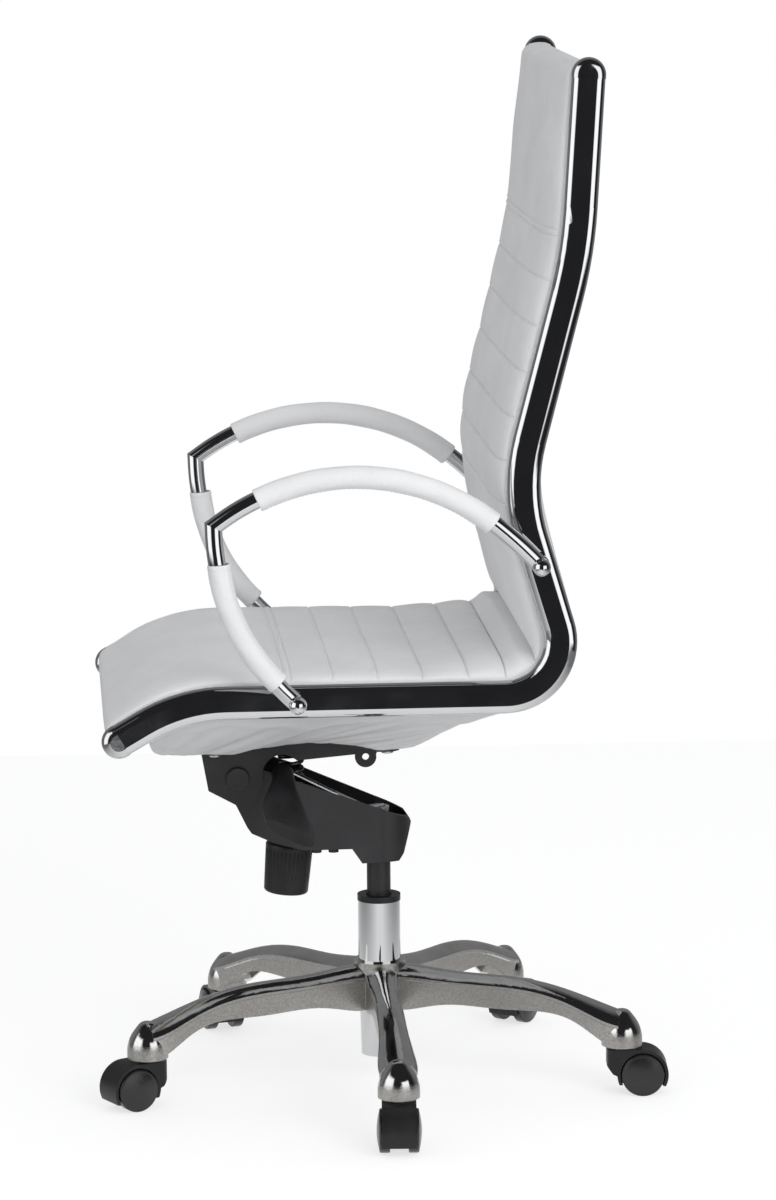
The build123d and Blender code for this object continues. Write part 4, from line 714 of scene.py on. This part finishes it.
def sew(name, runs, body):
    """Stitches along runs of (place, normal): short threads that dip at both ends."""
    vertices, faces = [], []
    for run in runs:
        lengths = lengths_along([place for place, _ in run])
        start = STITCH_PITCH / 2
        while start + STITCH_LENGTH < lengths[-1]:
            add_stitch(vertices, faces, run, lengths, start)
            start += STITCH_PITCH
    piece = closed_piece(name, vertices, faces)
    piece.data.materials.append(THREAD_LOOK)
    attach(piece, body)


def walk(run, lengths, target):
    """Place and normal at that length along a run."""
    number, share = step_at(lengths, target)
    (first, up_first), (second, up_second) = run[number - 1], run[number]
    return first.lerp(second, share), up_first.lerp(up_second, share).normalized()


def add_stitch(vertices, faces, run, lengths, start):
    """One thread of five rings of six sides."""
    rings, sides = 5, 6
    first = len(vertices)
    here, _ = walk(run, lengths, start)
    there, _ = walk(run, lengths, start + STITCH_LENGTH)
    going = (there - here).normalized()
    for ring in range(rings):
        share = ring / (rings - 1)
        place, up = walk(run, lengths, start + STITCH_LENGTH * share)
        lift = THREAD * (STITCH_RISE * sin(pi * share) - STITCH_SUNK)
        thick = THREAD * (STITCH_THIN + STITCH_THICK * sin(pi * share))
        beside = going.cross(up).normalized()
        middle = place + up * lift
        for side in range(sides):
            angle = 2 * pi * side / sides
            vertices.append(middle + (beside * cos(angle) + up * sin(angle)) * thick)
    last = first + (rings - 1) * sides
    for ring in range(first, last, sides):
        faces += band(ring, ring + sides, sides)
    faces.append(tuple(range(first, first + sides)))
    faces.append(tuple(range(last, last + sides)))


def seam_run(surface, distance):
    """The run of a seam's stitches across the leather."""
    run = []
    for share in spread(-SEWN_SHARE, SEWN_SHARE, SEWN_STEP):
        place, normal = surface.under(distance, share * PAD_HALF)
        if place:
            run.append((place, normal))
    return run


def finish_leather(piece, body, *nodes, fill=0.6):
    """Leather look and body of a padded piece; hides the CAD nodes it takes the place of."""
    piece.data.materials.clear()
    piece.data.materials.append(LEATHER_LOOK)
    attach(piece, body)
    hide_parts(*nodes)


finish_leather(seat_leather, "seat", "seat_cushion")
finish_leather(back_leather, "seat", "back_cushion")
seat_face = Surface(seat_leather)
back_face = Surface(back_leather)
stitched = [seam_run(seat_face, seam - STITCH_OFFSET) for seam in seat_seams[:-1]]
sew("seat_stitches", stitched, "seat")
sew("back_stitches", [seam_run(back_face, seam + STITCH_OFFSET) for seam in back_seams], "seat")


# -------- the back's rear cover
REAR_TOP = line.length - MM
REAR_FOOT = BEND_START + CREASE_BEND[3] * 0.34  # a third of the way round the bend
# How far behind the centre line the leather's inner face is, and its outer one at the rails.
REAR_INSIDE, REAR_EDGE = 0.0140, 0.0186
REAR_CROWN = (  # and its outer face in the middle, as stops along the line
    (0.46, 0.0190), (0.56, 0.0225), (0.70, 0.0290), (0.82, 0.0250), (1.00, 0.0215), (1.18, 0.0190),
)
REAR_SEAMS = (back_length(0.752), REAR_TOP - 0.018)  # across the waist, and under the top
REAR_MARKS = (REAR_FOOT, *REAR_SEAMS, REAR_TOP)
REAR_STEP = 0.011
REAR_COLUMNS = 40
REAR_CLEAR = 0.0016  # no even row comes closer to a mark
END_ROUND, END_REACH = 0.0035, 0.006  # how far the face falls at both ends, and over what length


def rear_cover():
    """Leather drawn over the back's rear face, fuller at the waist, with two seams across."""
    columns = across(REAR_COLUMNS)
    rows = list(REAR_MARKS)
    for low, high in zip(REAR_MARKS, REAR_MARKS[1:]):
        rows += spread(low + REAR_CLEAR, high - REAR_CLEAR, REAR_STEP)
    rows.sort()
    outer, inner = [], []
    for distance in rows:
        crown = along(REAR_CROWN, distance)
        sunk = SEAM_DEPTH if distance in REAR_SEAMS else 0
        end = min(distance - REAR_FOOT, REAR_TOP - distance)
        fall = END_ROUND * (1 - smooth_between(end / END_REACH))
        row = []
        for u in columns:
            depth = REAR_EDGE + (crown - REAR_EDGE) * (1 - abs(u) ** 4) - sunk - fall
            row.append(line.spot(distance, -depth, u * PAD_HALF))
        outer.append(row)
        inner.append([line.spot(distance, -REAR_INSIDE, u * PAD_HALF) for u in columns])
    piece = closed_form("back_rear_leather", outer, inner)
    held = [distance in REAR_MARKS for distance in rows]
    swell(piece, pinned(held, len(columns), 1), pressure=2.5, cap=0.0025)
    subdivide(piece)
    return piece


rear_leather = rear_cover()
finish_leather(rear_leather, "seat", "back_rear_cover", fill=0.4)
rear_face = Surface(rear_leather, -1)
sew("rear_stitches", [seam_run(rear_face, seam - STITCH_OFFSET) for seam in REAR_SEAMS], "seat")


# -------- the cover under the seat
COVER_LOW, COVER_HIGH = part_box("seat_underside_cover")
RIM_FRONT, RIM_REAR = COVER_LOW.y + 0.004, COVER_HIGH.y - 0.006
FLAT_FRONT, FLAT_REAR = -0.262, 0.028  # the flat part, under the seat plate
FLAT_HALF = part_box("seat_plate")[1].x - 0.002
FLAT_CORNER, RIM_CORNER = 0.022, 0.012
FLAT_OVER = 0.0012  # over the solid cover's lowest face
RIM_UNDER = 0.004  # under its highest
INNER_RIM = 0.03  # how far the flat part reaches in from its edge
ARCH_FRONT, ARCH_REAR = -0.178, -0.011  # where the plate's arch starts and ends
ARCH_RISE = 0.012
COVER_SAG = 0.006
# Down the side, as shares of it: where the gathered hem runs, and its waves (size, number, phase).
HEM_DOWN = 0.30
HEM_WAVES = ((0.05, 9, 0.6), (0.03, 23, 2.0))
HEM_ROLL, HEM_ROLL_WIDTH = 0.0016, 0.035
FOLD = 0.0016  # half the height of a fold
FOLDS, FOLD_SLANT = 26, 5.0  # folds all round, and how far they turn on their way down
FOLD_OUT, FOLD_DOWN = 0.35, 0.94  # which way they stand out


def rounded_loop(front, rear, half, corner, count):
    """Evenly spaced points round a rectangle with round corners, from its front's +X end."""
    wide, deep = half - corner, (rear - front) / 2 - corner
    middle = (front + rear) / 2
    path = []
    steps = 8
    for sx, sy, start in ((1, -1, -90), (1, 1, 0), (-1, 1, 90), (-1, -1, 180)):
        for step in range(steps + 1):
            angle = radians(start + 90 * step / steps)
            x = sx * wide + corner * cos(angle)
            y = middle + sy * deep + corner * sin(angle)
            path.append(Vector((x, y)))
    path.append(path[0])
    lengths = lengths_along(path)
    loop = []
    for index in range(count):
        number, share = step_at(lengths, lengths[-1] * index / count)
        loop.append(path[number - 1].lerp(path[number], share))
    return loop


def plate_rise(y):
    """How far the plate's arch rises over its ends at that Y."""
    half = (ARCH_REAR - ARCH_FRONT) / 2
    off = y - (ARCH_REAR + ARCH_FRONT) / 2
    return ARCH_RISE * max(0.0, 1 - (off / half) ** 2)


def hem_share(turn):
    """How far down the side the gathered hem runs at that turn round the seat: it waves a little."""
    waves = [size * sin(number * turn + phase) for size, number, phase in HEM_WAVES]
    return sum(waves, HEM_DOWN)


def gather(share, turn):
    """How far the leather stands out: flat above the hem, a roll at it and slanting folds below."""
    hem = hem_share(turn)
    roll = HEM_ROLL * exp(-((share - hem) / HEM_ROLL_WIDTH) ** 2)
    if share <= hem:
        return roll
    fall = (share - hem) / (1 - hem)
    slant = turn * FOLDS + FOLD_SLANT * fall
    # The folds bunch up five times all round, and a finer set crosses them.
    folds = sin(slant + 1.3 * sin(5 * turn)) + 0.5 * sin(1.7 * slant + 3 * turn)
    return roll + FOLD * folds * sin(pi * fall) ** 0.8


def underside_cover():
    """The leather that hangs between the rails and gathers round the plate, in soft folds."""
    count, levels = 264, 28
    rim = rounded_loop(RIM_FRONT, RIM_REAR, COVER_HIGH.x - MM, RIM_CORNER, count)
    foot = rounded_loop(FLAT_FRONT, FLAT_REAR, FLAT_HALF, FLAT_CORNER, count)
    inner = rounded_loop(
        FLAT_FRONT + INNER_RIM, FLAT_REAR - INNER_RIM, FLAT_HALF - INNER_RIM, RIM_CORNER, count,
    )
    top = COVER_HIGH.z - RIM_UNDER
    low = COVER_LOW.z + FLAT_OVER
    vertices = []
    for level in range(levels + 1):
        share = level / levels
        for index in range(count):
            place = rim[index].lerp(foot[index], share)
            foot_z = low + plate_rise(foot[index].y)
            sag = COVER_SAG * sin(pi * share)
            spot = Vector((place.x, place.y, top + (foot_z - top) * share - sag))
            away = (rim[index] - foot[index]).normalized()
            lift = gather(share, 2 * pi * index / count)
            spot += Vector((away.x * FOLD_OUT, away.y * FOLD_OUT, -FOLD_DOWN)) * lift
            vertices.append(spot)
    vertices += [Vector((place.x, place.y, low + plate_rise(place.y))) for place in inner]
    base = levels * count
    faces = []
    for ring in range(0, base + count, count):
        faces += band(ring, ring + count, count)
    piece = closed_piece("underside_leather", vertices, faces)
    fixed = list(range(count)) + list(range(base, len(vertices)))
    swell(piece, fixed, pressure=0.6, cap=0.005, shrink=-0.05, gravity=1.0, stiffness=8.0)
    thick = piece.modifiers.new("thick", "SOLIDIFY")
    thick.thickness = LEATHER
    thick.offset = -1
    subdivide(piece)
    return piece


under_leather = underside_cover()
finish_leather(under_leather, "seat", "seat_underside_cover", fill=0.2)


# -------- sleeves on the arms
SLEEVE_UNDER = 0.0008  # the leather's face under that of the padded solid
SLEEVE_WALL = 0.0016
SLEEVE_SINK = 0.0015  # how far the leather's inner face sinks into the foam
END_ROWS = (0.0, 0.0008, 0.002)  # close rows at both ends
EVEN_FROM = 0.004  # and the even ones start here
FLARE, FLARE_REACH = 0.0006, 0.010  # the ends open a little
HEM, HEM_DIP, HEM_WIDTH = 0.007, 0.0005, 0.0012  # a groove this far from each end
LIP_ROUND, LIP_REACH = 0.0007, 0.0018  # the ends' edges are rounded
# Round the sleeve, from its seam, in radians: the leather that overlaps beside it, and the groove.
OVERLAP, OVERLAP_AT, OVERLAP_REACH = 0.0007, 0.16, 0.20
GROOVE, GROOVE_WIDTH = 0.0007, 0.045
STITCH_BESIDE = -0.10
RUN_STEP = 0.008  # the same along a sleeve, in metres
SLACK = 0.00025  # the size of the leather's uneven waves
FLANK = 0.97  # vertices this far out on the tube lie on its bend's own arc
ARM_SEAM = -pi / 2 * 0.86  # round the left arm, from straight outwards
POST_SEAM = radians(-48)


class TubeBend:
    """The arc in the Y-Z plane that a sleeve's solid follows, fitted to its mesh by least squares."""

    def __init__(self, cad_node):
        low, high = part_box(cad_node)
        self.middle_x, self.tube = (low.x + high.x) / 2, (high.x - low.x) / 2
        places = [vertex.co for vertex in frame["nodes"][cad_node].data.vertices]
        spots = [(place.y, place.z) for place in places if abs(place.x - self.middle_x) > FLANK * self.tube]
        terms = [(2 * y, 2 * z, 1.0) for y, z in spots]
        squares = [y * y + z * z for y, z in spots]
        self.centre = Vector(numpy.linalg.lstsq(terms, squares, rcond=None)[0][:2])
        mean_y, mean_z = numpy.mean(spots, axis=0)
        towards = atan2(mean_z - self.centre.y, mean_y - self.centre.x)
        turns = []
        for y, z in spots:
            turn = atan2(z - self.centre.y, y - self.centre.x) - towards
            turns.append(atan2(sin(turn), cos(turn)))
        reach = [hypot(y - self.centre.x, z - self.centre.y) for y, z in spots]
        self.radius = sum(reach) / len(reach)
        self.start = towards + min(turns)
        self.length = self.radius * (towards + max(turns) - self.start)

    def at(self, distance):
        """The tube's middle at that length of the arc, and the way out from the arc's centre."""
        angle = self.start + distance / self.radius
        away = Vector((0, cos(angle), sin(angle)))
        return Vector((self.middle_x, self.centre.x, self.centre.y)) + away * self.radius, away


def sleeve_size(bend, distance, turn, seam_angle):
    """The leather's radius at that length along the arm and that turn round it."""
    end = min(distance, bend.length - distance)
    flare = FLARE * exp(-end / FLARE_REACH)
    hem = -HEM_DIP * exp(-((end - HEM) / HEM_WIDTH) ** 2)
    lip = -LIP_ROUND * (1 - smooth_between(end / LIP_REACH))
    apart = atan2(sin(turn - seam_angle), cos(turn - seam_angle))
    overlap = OVERLAP * smooth_between(1 - abs(apart - OVERLAP_AT) / OVERLAP_REACH)
    groove = -GROOVE * exp(-(apart / GROOVE_WIDTH) ** 2)
    slack = SLACK * sin(distance * 95 + 3 * sin(turn)) * sin(turn * 2 + distance * 40)
    return bend.tube - SLEEVE_UNDER + flare + hem + lip + overlap + groove + slack


def sleeve(name, cad_node, seam_angle):
    """A leather sleeve round an arm: hemmed, slightly flared ends and one sewn seam along it."""
    bend = TubeBend(cad_node)
    sides, steps = 48, 64
    rings = [*END_ROWS, *spread(EVEN_FROM, bend.length - EVEN_FROM, bend.length / steps)]
    rings += [bend.length - place for place in reversed(END_ROWS)]
    sideways = Vector((1, 0, 0))
    outer, inner = [], []
    for distance in rings:
        middle, away = bend.at(distance)
        for side in range(sides):
            turn = 2 * pi * side / sides
            out = sideways * cos(turn) + away * sin(turn)
            spot = middle + out * sleeve_size(bend, distance, turn, seam_angle)
            outer.append(spot)
            inner.append(middle + (spot - middle).normalized() * (bend.tube - SLEEVE_WALL - SLEEVE_SINK))
    inside = len(outer)
    last = inside - sides
    faces = band(0, inside, sides) + band(last, inside + last, sides)
    for ring in range(0, last, sides):
        faces += band(ring, ring + sides, sides)
        faces += band(inside + ring, inside + ring + sides, sides)
    piece = closed_piece(name, outer + inner, faces)
    subdivide(piece)
    finish_leather(piece, "seat", cad_node, fill=0.8)
    tree = BVHTree.FromObject(piece, bpy.context.evaluated_depsgraph_get())
    turn = seam_angle + STITCH_BESIDE
    run = []
    for distance in spread(EVEN_FROM, bend.length - EVEN_FROM, RUN_STEP):
        middle, away = bend.at(distance)
        out = sideways * cos(turn) + away * sin(turn)
        place, normal, _, _ = tree.ray_cast(middle + out * bend.tube * 1.5, -out)
        run.append((place, normal))
    sew(name + "_stitches", [run], "seat")


for hand in ("left", "right"):
    under, rear = ARM_SEAM, POST_SEAM
    if hand == "right":
        under, rear = pi - under, pi - rear
    sleeve(f"arm_leather_{hand}", f"arm_pad_{hand}", under)
    sleeve(f"post_leather_{hand}", f"post_sleeve_{hand}", rear)


# -------- looks of the CAD's own pieces
for part in frame["record"]["subparts"]:
    piece = frame["nodes"][part["node"]]
    piece.data.materials.clear()
    piece.data.materials.append(LOOKS[part["material_slot"]])

for hand in ("left", "right"):
    even = frame["nodes"][f"side_rail_{hand}"].modifiers.new("even_shading", "WEIGHTED_NORMAL")
    even.mode = "FACE_AREA"
    even.keep_sharp = True


# -------- floor, backdrop and lights
SKY_STRENGTH = 0.72
SKY_COLOUR = (0.98, 0.99, 1.0, 1)
ROOM_DARK = (0.022, 0.022, 0.024)  # what the metal mirrors: the dark side of the studio
ROOM_BEHIND = (0.24, 0.24, 0.245)  # and the side away from the lens
ROOM_FLOOR = (0.46, 0.455, 0.45)
REAR_BLEND = (-0.50, 0.05)  # in a direction's X: from the rear to the dark side
FLOOR_BLEND = (-0.62, -0.50)  # in its Z: from the floor to the walls
# Lit windows in the mirrored studio: bearings in degrees from +X, sines of elevation, softness.
WINDOWS = (
    ((-92, -38), (-0.27, 0.62), 5.0),
    ((15, 58), (-0.20, 0.45), 3.0),
)
WINDOW_LIGHT = (1.6, 1.6, 1.6)
SILL_SOFT, HEAD_SOFT = 0.03, 0.05  # softness of the windows' lower and upper edges, in sines
FLOOR_FRONT, FLOOR_SIDE = 2.4, 2.0  # how far the floor reaches
FLOOR_SHADE_FADE = (0.2, 1.2)  # how far before and behind the chair's middle its greys change, in metres
# Greys of the floor near the middle, and further out. The greys further out are painted shade, a stand-in
# for the floor getting less light far from the chair: the metal mirrors them, and the light bounced from
# below comes from them.
FLOOR_PAINT = (0.36, 0.08)  # the part of the white that takes a shadow
FLOOR_GLOW = (1.0, 0.22)  # the part that doesn't
FLOOR_BOUNCE = (0.74, 0.30)  # the plain floor that lights the chair from below
FLOOR_GLOW_STRENGTH = 0.70
MIDDLE = (0.0, 0.0, 0.65)  # where the lamps look


def any_ray(tree, path, *kinds):
    """1 for rays of those kinds, 0 for the rest."""
    share = 0.0
    for kind in kinds:
        share = maths(tree, "MAXIMUM", path.outputs[kind], share)
    return share


def greys(tree, share, first, second):
    """Two greys mixed by a share from 0 to 1."""
    return blend_colours(tree, share, (first,) * 3, (second,) * 3)


def studio_floor():
    """A white floor that keeps a faint shadow; further out it has painted shade, so the metal mirrors it
    greyer and it bounces less light.
    """
    rear, left = -FLOOR_SIDE, -FLOOR_SIDE
    corners = [(rear, left), (FLOOR_FRONT, left), (FLOOR_FRONT, FLOOR_SIDE), (rear, FLOOR_SIDE)]
    floor = new_piece("studio_floor", [(x, y, 0) for x, y in corners], [(0, 1, 2, 3)])
    material = bpy.data.materials.new("studio_floor")
    material.use_nodes = True
    tree = material.node_tree
    tree.nodes.clear()
    path = node(tree, "ShaderNodeLightPath")
    shown = any_ray(tree, path, "Is Camera Ray", "Is Glossy Ray", "Is Transmission Ray")
    place = node(tree, "ShaderNodeTexCoord").outputs["Object"]
    aside = node(tree, "ShaderNodeSeparateXYZ", Vector=place).outputs["Y"]
    aside = rise(tree, maths(tree, "ABSOLUTE", aside), *FLOOR_SHADE_FADE)
    # Painted shade: far from the chair, the floor that mirrors see is greyer.
    mirror_shade = maths(tree, "MULTIPLY", aside, path.outputs["Is Glossy Ray"])
    paint = node(tree, "ShaderNodeBsdfDiffuse", Color=greys(tree, mirror_shade, *FLOOR_PAINT))
    light = greys(tree, mirror_shade, *FLOOR_GLOW)
    glow = node(tree, "ShaderNodeEmission", Color=light, Strength=FLOOR_GLOW_STRENGTH)
    both = node(tree, "ShaderNodeAddShader", i0=paint.outputs[0], i1=glow.outputs[0])
    # Painted shade: the floor that bounces light from below is greyer far from the chair.
    plain = node(tree, "ShaderNodeBsdfDiffuse", Color=greys(tree, aside, *FLOOR_BOUNCE))
    mix = node(tree, "ShaderNodeMixShader", i0=shown, i1=plain.outputs[0], i2=both.outputs[0])
    out = tree.nodes.new("ShaderNodeOutputMaterial")
    tree.links.new(mix.outputs[0], out.inputs["Surface"])
    floor.data.materials.append(material)


def mirrored_room(tree):
    """The colour that the metal sees in a direction: a dark room, a grey rear, a floor and windows."""
    towards = node(tree, "ShaderNodeTexCoord").outputs["Generated"]
    parts = node(tree, "ShaderNodeSeparateXYZ", Vector=towards).outputs
    bearing = maths(tree, "ARCTAN2", parts["Y"], parts["X"])
    lit = blend_colours(tree, rise(tree, parts["X"], *REAR_BLEND), ROOM_BEHIND, ROOM_DARK)
    lit = blend_colours(tree, rise(tree, parts["Z"], *FLOOR_BLEND), ROOM_FLOOR, lit)
    for (left, right), (low, high), soft in WINDOWS:
        opens = rise(tree, bearing, radians(left - soft), radians(left + soft))
        shuts = rise(tree, bearing, radians(right - soft), radians(right + soft))
        foot = rise(tree, parts["Z"], low - SILL_SOFT, low + SILL_SOFT)
        head = rise(tree, parts["Z"], high - HEAD_SOFT, high + HEAD_SOFT)
        wide = maths(tree, "SUBTRACT", opens, shuts)
        tall = maths(tree, "SUBTRACT", foot, head)
        lit = blend_colours(tree, maths(tree, "MULTIPLY", wide, tall), lit, WINDOW_LIGHT)
    return lit


def studio_world():
    """White for the lens, an even sky for the leather, and a dark room with lit windows for mirrors."""
    world = bpy.data.worlds.new("studio")
    world.use_nodes = True
    bpy.context.scene.world = world
    tree = world.node_tree
    tree.nodes.clear()
    path = node(tree, "ShaderNodeLightPath")
    shown = any_ray(tree, path, "Is Camera Ray", "Is Transmission Ray")
    mirrored = node(tree, "ShaderNodeBackground", Color=mirrored_room(tree), Strength=1.0).outputs[0]
    even = node(tree, "ShaderNodeBackground", Color=SKY_COLOUR, Strength=SKY_STRENGTH).outputs[0]
    white = node(tree, "ShaderNodeBackground", Color=(1, 1, 1, 1), Strength=1.0).outputs[0]
    lighting = node(tree, "ShaderNodeMixShader", i0=path.outputs["Is Glossy Ray"], i1=even, i2=mirrored)
    mix = node(tree, "ShaderNodeMixShader", i0=shown, i1=lighting.outputs[0], i2=white)
    out = tree.nodes.new("ShaderNodeOutputWorld")
    tree.links.new(mix.outputs[0], out.inputs["Surface"])


def lamp(name, place, size, watts):
    """A soft lamp that looks at the chair's middle and isn't mirrored by the metal."""
    data = bpy.data.lights.new(name, "AREA")
    data.shape = "RECTANGLE"
    data.size, data.size_y = size
    data.energy = watts
    light = bpy.data.objects.new(name, data)
    light.location = place
    light.rotation_euler = (Vector(MIDDLE) - Vector(place)).to_track_quat("-Z", "Y").to_euler()
    light.visible_camera = False
    light.visible_glossy = False
    bpy.context.scene.collection.objects.link(light)


studio_floor()
studio_world()
lamp("key", (2.9, 1.5, 1.9), (2.0, 2.0), 50)
lamp("fill", (3.0, -1.4, 0.7), (1.6, 1.2), 12)


# -------- camera
CAMERA_PLACE = Vector((5.4708, -0.3875, 1.4936))
CAMERA_YAW, CAMERA_PITCH, CAMERA_ROLL = 0.0732, 0.1658, -0.0082  # radians, from looking along -X
FOCAL_LENGTH = 142.79  # millimetres, on a sensor 36 mm tall


def camera():
    """The photograph's viewpoint."""
    ahead = Vector((
        -cos(CAMERA_PITCH) * cos(CAMERA_YAW),
        cos(CAMERA_PITCH) * sin(CAMERA_YAW),
        -sin(CAMERA_PITCH),
    ))
    right = ahead.cross(Vector((0, 0, 1))).normalized()
    up = right.cross(ahead)
    right, up = (
        right * cos(CAMERA_ROLL) + up * sin(CAMERA_ROLL),
        up * cos(CAMERA_ROLL) - right * sin(CAMERA_ROLL),
    )
    data = bpy.data.cameras.new("camera")
    data.sensor_fit = "VERTICAL"
    data.sensor_height = 36.0
    data.lens = FOCAL_LENGTH
    data.clip_end = 50.0
    eye = bpy.data.objects.new("camera", data)
    turn = Matrix((right, up, -ahead)).transposed()
    eye.matrix_world = Matrix.Translation(CAMERA_PLACE) @ turn.to_4x4()
    bpy.context.scene.collection.objects.link(eye)
    bpy.context.scene.camera = eye


camera()
bpy.context.scene.view_settings.view_transform = "Standard"
